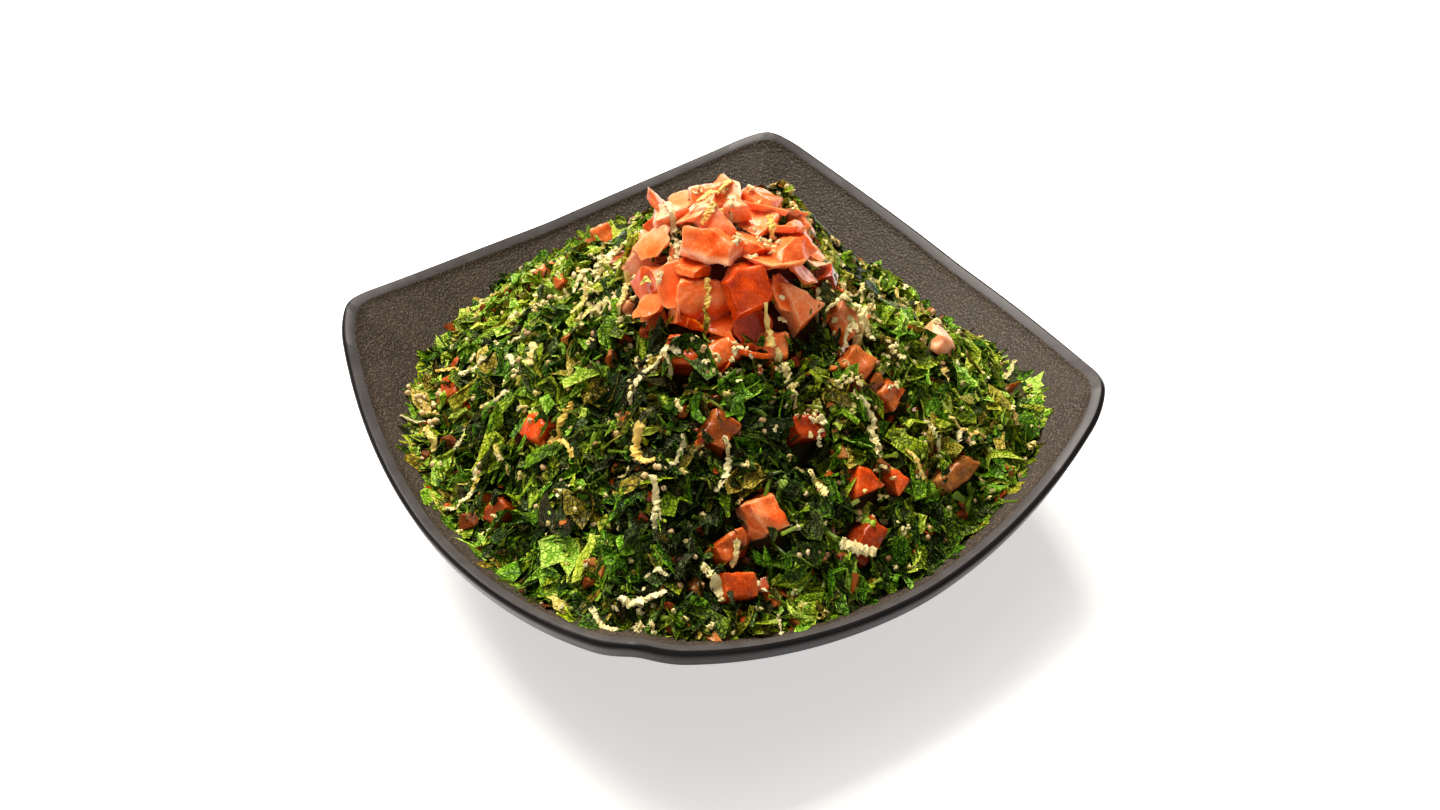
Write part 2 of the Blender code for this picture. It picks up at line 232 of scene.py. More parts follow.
def wall_rise(share):
    """Share of the wall's height at a share of its width: it eases out of the flat floor."""

    def ramp(at):
        past = at - WALL_START
        return past + math.hypot(past, WALL_SOFTNESS)

    return (ramp(share) - ramp(0.0)) / (ramp(1.0) - ramp(0.0))


def wall_point(angle, share):
    """Distance and height of the inner wall."""
    edge = plan_reach(angle, WALL_TOP_INSET)
    top = rim_height(angle) - WALL_TOP_DROP
    reach = FLOOR_RADIUS + (edge - FLOOR_RADIUS) * share
    return reach, FLOOR_HEIGHT + (top - FLOOR_HEIGHT) * wall_rise(share)


def wall_height(angle, reach):
    """Height of the bowl's inner face at a distance from the middle."""
    edge = plan_reach(angle, WALL_TOP_INSET)
    share = (reach - FLOOR_RADIUS) / (edge - FLOOR_RADIUS)
    return wall_point(angle, share)[1] if share > 0 else FLOOR_HEIGHT


def lobe(bearing, centre, spread):
    """1 at the centre bearing, falling smoothly to 0 at the given spread from it."""
    apart = abs((bearing - centre + 180.0) % 360.0 - 180.0)
    return 0.5 + 0.5 * math.cos(math.pi * min(apart / spread, 1.0))


def heap_edge(angle):
    """Distance from the middle at which the heap meets the wall."""
    bearing = math.degrees(angle)
    changes = (change * lobe(bearing, centre, spread) for centre, change, spread in EDGE_LOBES)
    return HEAP_EDGE + sum(changes)


def mound(x, y):
    """Height of the heap before its lumps and crown."""
    angle = math.atan2(y, x)
    edge = heap_edge(angle)
    foot = wall_height(angle, edge) + HEAP_EDGE_STEP
    share = min(math.hypot(x, y) / edge, 1.0)
    height = foot + (HEAP_PEAK - foot) * (1 - share**HEAP_POWER) ** HEAP_FLARE
    for centre_x, centre_y, rise, radius in SHOULDERS:
        away = min(math.hypot(x - centre_x, y - centre_y) / radius, 1.0)
        height += rise * (0.5 + 0.5 * math.cos(math.pi * away))
    return height


def dome(x, y, sunk):
    """Height that the crown adds, for a dome that is smaller by sunk."""
    share = math.hypot(x - CROWN_X, y - CROWN_Y) / (CROWN_RADIUS - sunk * SHELL_AT_SIDE)
    return (CROWN_HEIGHT - sunk) * (1 - min(share, 1.0) ** CROWN_POWER) ** CROWN_EDGE


def lumps(x, y):
    return sum(rise * noise.noise(Vector((x / size, y / size, cut))) for size, rise, cut in LUMPS)


def heap_height(x, y):
    """Height of the heap under the crown's pieces."""
    angle = math.atan2(y, x)
    edge = heap_edge(angle)
    reach = math.hypot(x, y)
    share = min(reach / edge, 1.0)
    height = mound(x, y) + dome(x, y, CROWN_SHELL) + lumps(x, y) * (1 - share**LUMP_FADE)
    return max(height, wall_height(angle, min(reach, edge)) + HEAP_EDGE_STEP)


# Finer relief that the chopped herbs make: size across, height, slice of the noise.
TUFTS = ((11.0, 4.2, 7.7), (5.0, 3.0, 2.3))
HOLLOW_SIZE, HOLLOW_DEPTH, HOLLOW_SLICE = 10.0, 6.0, 5.1
HOLLOW_FROM, HOLLOW_FULL = 0.15, 0.5  # noise above the first makes a hollow between the tufts


def hollow(x, y):
    """0 on the heap's surface, up to 1 in the middle of a hollow."""
    depth = noise.noise(Vector((x / HOLLOW_SIZE, y / HOLLOW_SIZE, HOLLOW_SLICE)))
    return min(max((depth - HOLLOW_FROM) / (HOLLOW_FULL - HOLLOW_FROM), 0.0), 1.0)


def tufts(x, y):
    """How far the herbs' surface lies above the heap's own."""
    rise = sum(high * noise.noise(Vector((x / size, y / size, cut))) for size, high, cut in TUFTS)
    return rise - HOLLOW_DEPTH * hollow(x, y)


def bumps(x, y, places):
    """Sum of smooth bumps, each given by its middle, its height and its radius."""
    away = [(much, math.hypot(x - at_x, y - at_y) / radius) for at_x, at_y, much, radius in places]
    return sum(much * (0.5 + 0.5 * math.cos(math.pi * min(far, 1.0))) for much, far in away)


# Waves of lighter and darker herbs: size across, how much, slice of the noise.
CLUMP_TONES = ((20.0, 0.22, 9.0), (8.0, 0.36, 4.0))
# Painted light and shade: places where the herbs are painted lighter where light falls and darker on the
# front, where shade falls: x, y, how much, radius.
PAINTED_LIGHT_AND_SHADE_PLACES = ((-38.0, -48.0, -0.36, 48.0), (-60.0, -68.0, -0.20, 34.0), (5.0, -80.0, -0.20, 38.0),
               (-30.0, 56.0, 0.22, 44.0), (50.0, -40.0, 0.13, 40.0))


def clump_and_painted_light(x, y):
    """How much lighter or darker the herbs are around a place: random clumps, plus painted light and shade at
    fixed places.
    """
    wave = sum(much * noise.noise(Vector((x / size, y / size, cut))) for size, much, cut in CLUMP_TONES)
    return wave + bumps(x, y, PAINTED_LIGHT_AND_SHADE_PLACES)


# Places where the loose herbs lie lower, or higher where it is negative: x, y, how much, radius.
LOW_PLACES = (
    (80.0, -56.0, 4.0, 26.0),
    (66.0, -52.0, 4.5, 26.0),
    (10.0, 80.0, 6.5, 40.0),
    (-17.0, -23.0, 4.5, 15.0),
    (34.0, 13.0, -1.5, 22.0),
    (42.0, 1.0, -8.0, 21.0),
    (62.0, 16.0, -3.0, 22.0),
    (82.0, 14.0, -2.0, 22.0),
    (24.0, -31.0, 4.0, 13.0),
    (19.0, -41.0, 4.0, 12.0),
    (23.0, -52.0, 3.5, 11.0),
    (-5.0, -51.0, 3.0, 11.0),
    (0.0, 0.0, 0.8, 900.0),
)


def cad_surface(*prefixes):
    """A search tree over the CAD nodes whose names start with one of the prefixes."""
    points, faces = [], []
    for name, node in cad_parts.items():
        if not name.startswith(prefixes):
            continue
        node.data.calc_loop_triangles()
        first = len(points)
        points += [vert.co / MM for vert in node.data.vertices]
        faces += [[first + i for i in tri.vertices] for tri in node.data.loop_triangles]
    return BVHTree.FromPolygons(points, faces)


TOMATOES = cad_surface("tomato")
ABOVE = 150.0


def drop(tree, x, y):
    """Height of a surface under a point, or 0 where there is none."""
    hit = tree.ray_cast(Vector((x, y, ABOVE)), Vector((0, 0, -1)))[0]
    return 0.0 if hit is None else hit.z


# ---------------------------------------------------------------- materials


class Finish:
    """A material with short ways to add nodes. Values are its shader's: coat_weight=0.2 is Coat Weight."""

    def __init__(self, name, **values):
        self.material = bpy.data.materials.new(name)
        self.material.use_nodes = True
        self.nodes = self.material.node_tree.nodes
        self.links = self.material.node_tree.links
        self.shader = self.nodes["Principled BSDF"]
        for key, value in {"metallic": 0.0, **values}.items():
            label = key.replace("_", " ").title().replace("Ior", "IOR")
            self.shader.inputs[label].default_value = value

    def add(self, kind, inputs=None, **settings):
        node = self.nodes.new("ShaderNode" + kind)
        for name, value in settings.items():
            setattr(node, name, value)
        for socket, value in (inputs or {}).items():
            if isinstance(value, bpy.types.NodeSocket):
                self.links.new(value, node.inputs[socket])
            else:
                node.inputs[socket].default_value = value
        return node

    def where(self):
        """Coordinates in the object's own space, in metres."""
        return self.add("TexCoord").outputs["Object"]

    def attribute(self, name, output="Fac"):
        return self.add("Attribute", attribute_name=name).outputs[output]

    def noise(self, size, detail=2.0, roughness=0.5, vector=None):
        """Smooth noise with features of a size in millimetres."""
        inputs = {"Scale": 1 / (size * MM), "Detail": detail, "Roughness": roughness}
        inputs["Vector"] = vector or self.where()
        return self.add("TexNoise", inputs).outputs["Fac"]

    def cells(self, size, feature="F1", vector=None):
        """Distances in a pattern of cells of a size in millimetres."""
        inputs = {"Scale": 1 / (size * MM), "Vector": vector or self.where()}
        return self.add("TexVoronoi", inputs, feature=feature).outputs["Distance"]

    def math(self, operation, *values, clamp=False):
        inputs = dict(enumerate(values))
        return self.add("Math", inputs, operation=operation, use_clamp=clamp).outputs[0]

    def span(self, value, low, high, to_low=0.0, to_high=1.0):
        """Maps low..high to to_low..to_high, and holds it there outside."""
        inputs = {0: value, 1: low, 2: high, 3: to_low, 4: to_high}
        return self.add("MapRange", inputs, interpolation_type="SMOOTHSTEP").outputs[0]

    def spread(self, value, size):
        """A number as a vector that pushes a pattern about by up to size in metres."""
        return self.add("VectorMath", {0: value, "Scale": size}, operation="SCALE").outputs[0]

    def ramp(self, value, stops):
        """A colour for each place along 0..1, smoothly joined."""
        node = self.add("ValToRGB", {"Fac": value})
        points = node.color_ramp.elements
        while len(points) < len(stops):
            points.new(0.5)
        for point, (place_at, colour) in zip(points, stops):
            point.position = place_at
            point.color = (*colour, 1.0)
        return node.outputs["Color"]

    def mix(self, factor, first, second):
        node = self.add("Mix", data_type="RGBA")
        for socket, value in ((0, factor), (6, first), (7, second)):
            if isinstance(value, bpy.types.NodeSocket):
                self.links.new(value, node.inputs[socket])
            else:
                node.inputs[socket].default_value = value if socket == 0 else (*value, 1.0)
        return node.outputs[2]

    def bump(self, height, distance, strength):
        """Relief of a height in millimetres."""
        inputs = {"Height": height, "Distance": distance * MM, "Strength": strength}
        return self.add("Bump", inputs).outputs["Normal"]

    def link(self, **sockets):
        for name, value in sockets.items():
            self.links.new(value, self.shader.inputs[name.replace("_", " ")])
        return self.material


def wall_finish():
    """Matt inner wall with a fine sandy grain."""
    made = Finish("bowl_wall", specular_ior_level=0.35)
    grain = made.noise(0.62, 2.0, 0.6)
    spots = made.cells(1.0)
    cloud = made.noise(14.0, 2.0)
    speck = made.span(grain, 0.50, 0.70)
    base = made.ramp(cloud, ((0.3, (0.024, 0.0155, 0.0095)), (0.7, (0.034, 0.0235, 0.0155))))
    colour = made.mix(speck, base, (0.132, 0.088, 0.058))
    rough = made.span(cloud, 0.3, 0.7, 0.55, 0.66)
    height = made.math("ADD", grain, made.math("MULTIPLY", spots, 0.5))
    return made.link(Base_Color=colour, Roughness=rough, Normal=made.bump(height, 0.34, 1.0))


def band_finish():
    """Smooth satin band along the rim."""
    made = Finish("bowl_band", specular_ior_level=0.25)
    cloud = made.noise(6.0, 4.0)
    fine = made.noise(0.4, 2.0)
    colour = made.ramp(cloud, ((0.3, (0.048, 0.042, 0.042)), (0.7, (0.068, 0.061, 0.060))))
    rough = made.span(cloud, 0.3, 0.7, 0.38, 0.48)
    return made.link(Base_Color=colour, Roughness=rough, Normal=made.bump(fine, 0.03, 0.5))


def gloss_finish():
    """Black lip and outside with a soft gloss."""
    made = Finish("bowl_gloss", specular_ior_level=0.14)
    cloud = made.noise(25.0, 3.0)
    fine = made.noise(1.2, 2.0)
    colour = made.ramp(cloud, ((0.3, (0.0075, 0.0065, 0.0068)), (0.7, (0.013, 0.0115, 0.0115))))
    rough = made.span(cloud, 0.3, 0.7, 0.26, 0.36)
    return made.link(Base_Color=colour, Roughness=rough, Normal=made.bump(fine, 0.02, 0.35))


FRESH_STOPS = (
    (0.0, (0.002, 0.007, 0.0003)),
    (0.2, (0.007, 0.030, 0.0006)),
    (0.45, (0.034, 0.125, 0.0015)),
    (0.7, (0.140, 0.350, 0.006)),
    (1.0, (0.470, 0.680, 0.100)),
)
YELLOW_STOPS = (
    (0.0, (0.003, 0.006, 0.0003)),
    (0.2, (0.014, 0.026, 0.0006)),
    (0.45, (0.090, 0.140, 0.0012)),
    (0.7, (0.320, 0.410, 0.005)),
    (1.0, (0.650, 0.700, 0.090)),
)
OLIVE_STOPS = (
    (0.0, (0.006, 0.004, 0.0003)),
    (0.2, (0.022, 0.015, 0.0006)),
    (0.45, (0.120, 0.080, 0.003)),
    (0.7, (0.380, 0.270, 0.022)),
    (1.0, (0.680, 0.560, 0.140)),
)


def leaf_finish():
    """Wet crinkled parsley: by its tone from nearly black to yellow-green, creased, with painted shade in its
    creases and a painted highlight along its edges.
    """
    made = Finish("parsley", specular_ior_level=0.30, specular_tint=(0.95, 1.0, 0.45, 1.0))
    local = made.attribute("local", "Vector")
    bent = made.noise(1.6, 2.0, 0.5, local)
    pushed = made.add("VectorMath", {0: local, 1: made.spread(bent, 0.0012)}, operation="ADD").outputs[0]
    cells = made.cells(1.5, "DISTANCE_TO_EDGE", pushed)
    patch = made.noise(1.1, 3.0, 0.7, local)
    # Painted shade: the creases are grooves in the relief and are also painted darker.
    crease_with_painted_shade = made.span(cells, 0.02, 0.16, 1.0, 0.0)
    shift = made.math("MULTIPLY_ADD", patch, 0.8, -0.38)
    shift = made.math("MULTIPLY_ADD", crease_with_painted_shade, -0.24, shift)
    # Painted highlight: lighter towards each piece's edges.
    rim = made.span(made.attribute("edge"), 0.72, 1.0, 0.0, 0.22)
    shift = made.math("ADD", shift, rim)
    level = made.math("ADD", made.attribute("tone"), shift, clamp=True)
    warm = made.attribute("warm")
    yellower = made.span(warm, 0.1, 0.5)
    colour = made.mix(yellower, made.ramp(level, FRESH_STOPS), made.ramp(level, YELLOW_STOPS))
    colour = made.mix(made.span(warm, 0.55, 0.9), colour, made.ramp(level, OLIVE_STOPS))
    height = made.math("MULTIPLY_ADD", crease_with_painted_shade, -0.8, patch)
    rough = made.span(patch, 0.3, 0.7, 0.18, 0.42)
    return made.link(Base_Color=colour, Roughness=rough, Normal=made.bump(height, 0.45, 0.9))


def stem_finish():
    """Pale green stalks with lines along them."""
    made = Finish("stalk", specular_ior_level=0.4, subsurface_weight=0.25, subsurface_scale=0.001,
                  subsurface_radius=(0.6, 1.0, 0.15))
    local = made.attribute("local", "Vector")
    along = made.add("Mapping", {"Vector": local, "Scale": (1.0, 1.0, 0.12)}).outputs["Vector"]
    lines = made.noise(0.35, 2.0, 0.5, along)
    level = made.math("MULTIPLY_ADD", lines, 0.5, made.attribute("tone"))
    stops = (
        (0.2, (0.040, 0.085, 0.003)),
        (0.6, (0.170, 0.270, 0.008)),
        (1.0, (0.480, 0.560, 0.090)),
    )
    colour = made.ramp(level, stops)
    return made.link(Base_Color=colour, Roughness=made.span(lines, 0.3, 0.7, 0.3, 0.45),
                     Normal=made.bump(lines, 0.12, 0.7))


def core_finish():
    """What shows deep between the herbs: painted shade, a green darker than the loose herbs' with some brown,
    and a dark red under the crown.
    """
    made = Finish("heap_depth", specular_ior_level=0.2)
    broad, fine = made.noise(6.0, 3.0), made.noise(1.2, 4.0, 0.65)
    # Painted shade: this green is darker than the herbs' own, and the red under the crown stands for tomato
    # flesh in shade.
    green = made.ramp(fine, ((0.3, (0.004, 0.010, 0.0007)), (0.7, (0.026, 0.050, 0.0025))))
    colour = made.mix(made.span(broad, 0.42, 0.62), green, (0.040, 0.017, 0.003))
    colour = made.mix(made.attribute("crown"), colour, (0.13, 0.012, 0.002))
    return made.link(Base_Color=colour, Roughness=made.span(fine, 0.3, 0.7, 0.4, 0.7),
                     Normal=made.bump(fine, 0.9, 1.0))


TOMATO_STOPS = (
    (0.0, (0.94, 0.45, 0.27)),
    (0.15, (0.94, 0.32, 0.130)),
    (0.32, (0.91, 0.185, 0.040)),
    (0.52, (0.84, 0.084, 0.004)),
    (0.75, (0.44, 0.022, 0.001)),
    (1.0, (0.07, 0.005, 0.001)),
)
SOAKED_STOPS = (
    (0.0, (0.66, 0.42, 0.16)),
    (0.3, (0.36, 0.150, 0.028)),
    (0.6, (0.120, 0.038, 0.005)),
    (1.0, (0.020, 0.006, 0.001)),
)


def tomato_finish():
    """Tomato: pale granular flesh to deep red by its tone, browner where soaked, wet and translucent."""
    made = Finish("tomato", specular_ior_level=0.24, subsurface_weight=0.46, subsurface_scale=0.0026,
                  subsurface_radius=(1.0, 0.35, 0.12), specular_tint=(1.0, 0.60, 0.36, 1.0),
                  coat_weight=0.36, coat_roughness=0.05)
    cloud, grain, fleck = made.noise(5.0, 3.0, 0.55), made.noise(0.6, 3.0, 0.6), made.noise(0.9, 4.0, 0.75)
    shift = made.math("MULTIPLY_ADD", cloud, 0.46, -0.23)
    shift = made.math("MULTIPLY_ADD", grain, 0.20, made.math("ADD", shift, -0.10))
    rim = made.math("MULTIPLY", made.attribute("edge"), -0.14)
    pale = made.math("SUBTRACT", 1.0, made.attribute("skin"))
    flecks = made.math("MULTIPLY", made.span(fleck, 0.50, 0.68, 0.0, -0.15), pale)
    shift = made.math("ADD", made.math("ADD", shift, rim), flecks)
    level = made.math("ADD", made.attribute("tone"), shift, clamp=True)
    soaked = made.attribute("soaked")
    colour = made.mix(soaked, made.ramp(level, TOMATO_STOPS), made.ramp(level, SOAKED_STOPS))
    relief = made.math("MULTIPLY_ADD", cloud, 0.8, grain)
    height = made.math("MULTIPLY", relief, made.math("ADD", pale, 0.12))
    rough = made.math("MULTIPLY_ADD", pale, 0.12, made.span(fleck, 0.35, 0.7, 0.10, 0.26))
    return made.link(Base_Color=colour, Roughness=rough, Normal=made.bump(height, 0.2, 0.8))


def cheese_finish():
    """Grated cheese, from cream to yellow by its tone."""
    made = Finish("cheese", specular_ior_level=0.3, subsurface_weight=0.3, subsurface_scale=0.0012,
                  subsurface_radius=(1.0, 0.8, 0.4))
    grain, cloud = made.noise(0.5, 3.0, 0.6), made.noise(2.5, 2.0)
    level = made.math("MULTIPLY_ADD", cloud, 0.3, made.math("ADD", made.attribute("tone"), -0.15))
    stops = (
        (0.0, (0.80, 0.70, 0.38)),
        (0.4, (0.82, 0.64, 0.22)),
        (0.7, (0.84, 0.52, 0.085)),
        (1.0, (0.80, 0.33, 0.025)),
    )
    colour = made.mix(made.span(grain, 0.5, 0.3, 0.0, 0.25), made.ramp(level, stops), (0.55, 0.38, 0.10))
    rough = made.span(grain, 0.3, 0.7, 0.45, 0.62)
    return made.link(Base_Color=colour, Roughness=rough, Normal=made.bump(grain, 0.18, 0.8))


def grain_finish():
    """Cooked grains and nut crumbs: beige to brown by their tone."""
    made = Finish("grain", specular_ior_level=0.4, subsurface_weight=0.3, subsurface_scale=0.0010,
                  subsurface_radius=(1.0, 0.7, 0.35))
    fine = made.noise(0.6, 3.0, 0.6)
    level = made.math("MULTIPLY_ADD", fine, 0.3, made.math("ADD", made.attribute("tone"), -0.15))
    stops = (
        (0.0, (0.72, 0.56, 0.30)),
        (0.5, (0.55, 0.34, 0.14)),
        (1.0, (0.22, 0.09, 0.03)),
    )
    return made.link(Base_Color=made.ramp(level, stops), Roughness=made.span(fine, 0.3, 0.7, 0.3, 0.5),
                     Normal=made.bump(fine, 0.12, 0.6))


# ---------------------------------------------------------------- bowl

BOWL_AROUND = 320
CORNER_CROWDING = 0.4
OUTER_STEPS, LIP_FACE_STEPS, EDGE_STEPS, WALL_STEPS = 14, 3, 7, 34
LIP_EDGE_WIDTH, LIP_EDGE_DROP = 1.4, 1.3  # rounded outer edge of the lip
BAND_END, BAND_DROP = 4.0, 1.25  # where the satin band stops, above a small step
STEP_BEVEL = 0.12


def bowl_rings():
    """Each ring of the bowl's section: a function of the angle, and the finish that starts there."""

    def fixed(reach, height):
        return lambda angle: (reach, height)

    def lip(inset, drop):
        return lambda angle: (plan_reach(angle, inset), rim_height(angle) - drop)

    def outside(share):
        def point(angle):
            edge = plan_reach(angle, LIP_FACE_INSET)
            bottom = rim_height(angle) - LIP_FACE
            return FOOT_RADIUS + (edge - FOOT_RADIUS) * share, FOOT_HEIGHT + (bottom - FOOT_HEIGHT) * share
        return point

    rings = [
        (fixed(FOOT_RING_INNER - FOOT_RING_LEAN, RECESS_HEIGHT), "bowl_gloss"),
        (fixed(FOOT_RING_INNER, 0.0), "bowl_gloss"),
        (fixed(FOOT_RING_OUTER, 0.0), "bowl_gloss"),
        (fixed(FOOT_RING_OUTER + FOOT_RING_LEAN, FOOT_RING_SHOULDER), "bowl_gloss"),
    ]
    rings += [(outside(share), "bowl_gloss") for share in np.linspace(0, 1, OUTER_STEPS)]
    for share in np.linspace(0, 1, LIP_FACE_STEPS + 1)[1:-1]:
        drop_here = LIP_FACE + (LIP_EDGE_DROP - LIP_FACE) * share
        rings.append((lip(LIP_FACE_INSET * (1 - share), drop_here), "bowl_gloss"))
    for turn in np.linspace(0, math.pi / 2, EDGE_STEPS):
        inset, drop = LIP_EDGE_WIDTH * (1 - math.cos(turn)), LIP_EDGE_DROP * (1 - math.sin(turn))
        rings.append((lip(inset, drop), "bowl_gloss" if turn < 1.5 else "bowl_band"))
    rings += [
        (lip(BAND_END - STEP_BEVEL, BAND_DROP - STEP_BEVEL / 2), "bowl_band"),
        (lip(BAND_END + STEP_BEVEL / 2, BAND_DROP + STEP_BEVEL), "bowl_wall"),
        (lip(WALL_TOP_INSET - STEP_BEVEL / 2, WALL_TOP_DROP - STEP_BEVEL), "bowl_wall"),
    ]
    for share in np.linspace(1, 0, WALL_STEPS):
        rings.append((lambda angle, share=share: wall_point(angle, share), "bowl_wall"))
    return rings


def build_bowl():
    finishes = {"bowl_gloss": gloss_finish(), "bowl_band": band_finish(), "bowl_wall": wall_finish()}
    even = 2 * math.pi * np.arange(BOWL_AROUND) / BOWL_AROUND
    turned = even + CORNER_CROWDING * np.sin(4 * even) / 4
    points, zones = [], []
    rings = bowl_rings()
    for ring, zone in rings:
        for angle in turned:
            reach, height = ring(angle)
            points.append((reach * math.cos(angle), reach * math.sin(angle), height))
        zones.append(zone)
    under, inside = len(points), len(points) + 1
    points += [(0, 0, RECESS_HEIGHT), (0, 0, FLOOR_HEIGHT)]
    loop = np.arange(BOWL_AROUND)
    last = (len(rings) - 1) * BOWL_AROUND
    faces = [ring_triangles(len(rings), BOWL_AROUND)]
    faces += [fan_triangles(under, loop, flip=True), fan_triangles(inside, last + loop)]
    mesh = make_mesh("bowl_dish", points, np.concatenate(faces))
    bowl = make_object("bowl_dish", mesh, finishes.values(), sharp=32.0)
    order = list(finishes)
    kinds = np.repeat([order.index(zone) for zone in zones[:-1]], 2 * BOWL_AROUND)
    ends = np.repeat([order.index("bowl_gloss"), order.index("bowl_wall")], BOWL_AROUND)
    kinds = np.append(kinds, ends)
    mesh.polygons.foreach_set("material_index", kinds.astype(np.int32))
    place(bowl, "bowl", "bowl")


# ---------------------------------------------------------------- surfaces that things lie on

MAP_REACH = 104  # half the side of the height maps, with a point each millimetre


def sampled(height):
    """Heights that a function gives at the points of a map's grid."""
    side = range(-MAP_REACH, MAP_REACH + 1)
    return np.array([[height(x, y) for x in side] for y in side], float)


class HeightMap:
    """Heights on a square grid, read between its points."""

    def __init__(self, heights):
        self.heights = heights

    def read(self, grid, x, y):
        x = np.clip(np.asarray(x, float) + MAP_REACH, 0, 2 * MAP_REACH - 1.001)
        y = np.clip(np.asarray(y, float) + MAP_REACH, 0, 2 * MAP_REACH - 1.001)
        i, j = x.astype(int), y.astype(int)
        u, v = x - i, y - j
        low = grid[j, i] * (1 - u) + grid[j, i + 1] * u
        high = grid[j + 1, i] * (1 - u) + grid[j + 1, i + 1] * u
        return low * (1 - v) + high * v

    def at(self, x, y):
        return self.read(self.heights, x, y)

    def out(self, x, y):
        """Unit vectors out of the surface."""
        dy, dx = np.gradient(self.heights)
        slopes = np.stack([-self.read(dx, x, y), -self.read(dy, x, y), np.ones(np.shape(x))], -1)
        return slopes / np.linalg.norm(slopes, axis=-1, keepdims=True)


def inner_face(x, y):
    angle = math.atan2(y, x)
    return wall_height(angle, min(math.hypot(x, y), plan_reach(angle, WALL_TOP_INSET)))


def herb_height(x, y):
    """Height of the surface that the loose herbs make."""
    return heap_height(x, y) + tufts(x, y) - bumps(x, y, LOW_PLACES)


HERBS = HeightMap(sampled(herb_height))
WALL = HeightMap(sampled(inner_face))
FRUIT = HeightMap(sampled(lambda x, y: drop(TOMATOES, x, y)))
BASE = HeightMap(np.maximum(HERBS.heights, FRUIT.heights))
TOP = HeightMap(BASE.heights)  # replaced by settle()
HOLLOWS = HeightMap(sampled(hollow))
CLUMP_AND_PAINTED_LIGHT = HeightMap(sampled(clump_and_painted_light))


EDGE_SWELL = (155.0, 32.0, 5.0)  # herbs pushed further up the wall: bearing, spread, how far


def herb_edge(bearing):
    """Distance of the edge of the herbs at a bearing in degrees."""
    middle, spread, swell = EDGE_SWELL
    edge = heap_edge(math.radians((bearing + 180) % 360 - 180))
    return edge + swell * math.exp(-(((bearing - middle) / spread) ** 2))


EDGES = np.array([herb_edge(bearing) for bearing in range(360)])


# ---------------------------------------------------------------- core of the heap

CORE_AROUND, CORE_RINGS, CORE_BASE_RINGS = 280, 78, 4
CORE_DEPTH = 3.4  # how far the core lies under the herbs
CORE_INSET = 2.5
CORE_STEP = 0.4
CROWN_DEPTH = 7.0  # how much further down the core lies under the crown


def under_crown(x, y):
    """1 under the middle of the crown, 0 outside it."""
    return np.clip(2.4 - 2.4 * np.hypot(x - CROWN_X, y - CROWN_Y) / CROWN_RADIUS, 0, 1)


def build_core():
    """The heap's inside, with its relief, under the loose herbs."""
    turned = 2 * math.pi * np.arange(CORE_AROUND) / CORE_AROUND
    edges = EDGES[np.degrees(turned).astype(int)] - CORE_INSET
    points = []
    for share in np.linspace(0.2, 1, CORE_BASE_RINGS):
        x, y = edges * share * np.cos(turned), edges * share * np.sin(turned)
        points.append(np.stack([x, y, WALL.at(x, y) + CORE_STEP / 2], 1))
    for ring in range(CORE_RINGS):
        share = 1 - ring / CORE_RINGS
        x, y = edges * share * np.cos(turned), edges * share * np.sin(turned)
        depth = CORE_DEPTH + CROWN_DEPTH * under_crown(x, y)
        points.append(np.stack([x, y, np.maximum(HERBS.at(x, y) - depth, WALL.at(x, y) + CORE_STEP)], 1))
    points = np.concatenate(points)
    rings = CORE_BASE_RINGS + CORE_RINGS
    low, high = len(points), len(points) + 1
    bottom, top = FLOOR_HEIGHT + CORE_STEP, HERBS.at(0, 0) - CORE_DEPTH - CROWN_DEPTH
    points = np.concatenate([points, [(0, 0, bottom), (0, 0, top)]])
    loop = np.arange(CORE_AROUND)
    faces = [ring_triangles(rings, CORE_AROUND), fan_triangles(low, loop, flip=True)]
    faces.append(fan_triangles(high, (rings - 1) * CORE_AROUND + loop))
    mesh = make_mesh("heap_core", points, np.concatenate(faces))
    add_attribute(mesh, "crown", under_crown(points[:, 0], points[:, 1]))
    core = make_object("heap_core", mesh, [core_finish()], sharp=180.0)
    place(core, "salad", "salad")


# ---------------------------------------------------------------- shapes of chopped herbs

LEAF_THICK = 0.22


def sheet_grid(steps, across):
    """An open sheet of steps by across points: each one's column, whether it is on the border, and faces."""
    row, column = np.divmod(np.arange(steps * across), across)
    border = (row == 0) | (row == steps - 1) | (column == 0) | (column == across - 1)
    corner = np.flatnonzero((row < steps - 1) & (column < across - 1))
    faces = np.concatenate([np.stack([corner, corner + across, corner + 1], 1),
                            np.stack([corner + 1, corner + across, corner + across + 1], 1)])
    return column, border, faces


def closed_sheet(points, faces, border, down):
    """Closes an open sheet with a second layer that shares its border. Down moves the second layer."""
    inner = np.flatnonzero(~border)
    moved = np.arange(len(points))
    moved[inner] = len(points) + np.arange(len(inner))
    second = moved[faces[:, ::-1]]
    return np.concatenate([points, points[inner] + down[inner]]), np.concatenate([faces, second])


def leaf_sheet(reach, rings, height):
    """A thin round leaf. Reach is its edge's distance each way round; height bends it."""
    around = len(reach)
    turned = 2 * math.pi * np.arange(around) / around
    level = np.repeat(np.arange(rings + 1) / rings, [1] + [around] * rings)
    spokes = np.concatenate([[0], np.tile(np.arange(around), rings)])
    x, y = reach[spokes] * np.cos(turned[spokes]) * level, reach[spokes] * np.sin(turned[spokes]) * level
    points = np.stack([x, y, height(x, y, level)], 1)
    faces = [fan_triangles(0, 1 + np.arange(around))]
    if rings > 1:
        faces.append(ring_triangles(rings, around, 1)[:, ::-1])
    down = np.stack([0 * level, 0 * level, -LEAF_THICK * (1 - level**2)], 1)
    points, faces = closed_sheet(points, np.concatenate(faces), level == 1, down)
    return points, faces, np.concatenate([level, level[level < 1]])


def wavy(x, y, size):
    seed = rng.uniform(0, 99)
    return np.array([noise.noise(Vector((a / size, b / size, seed))) for a, b in zip(x, y)])


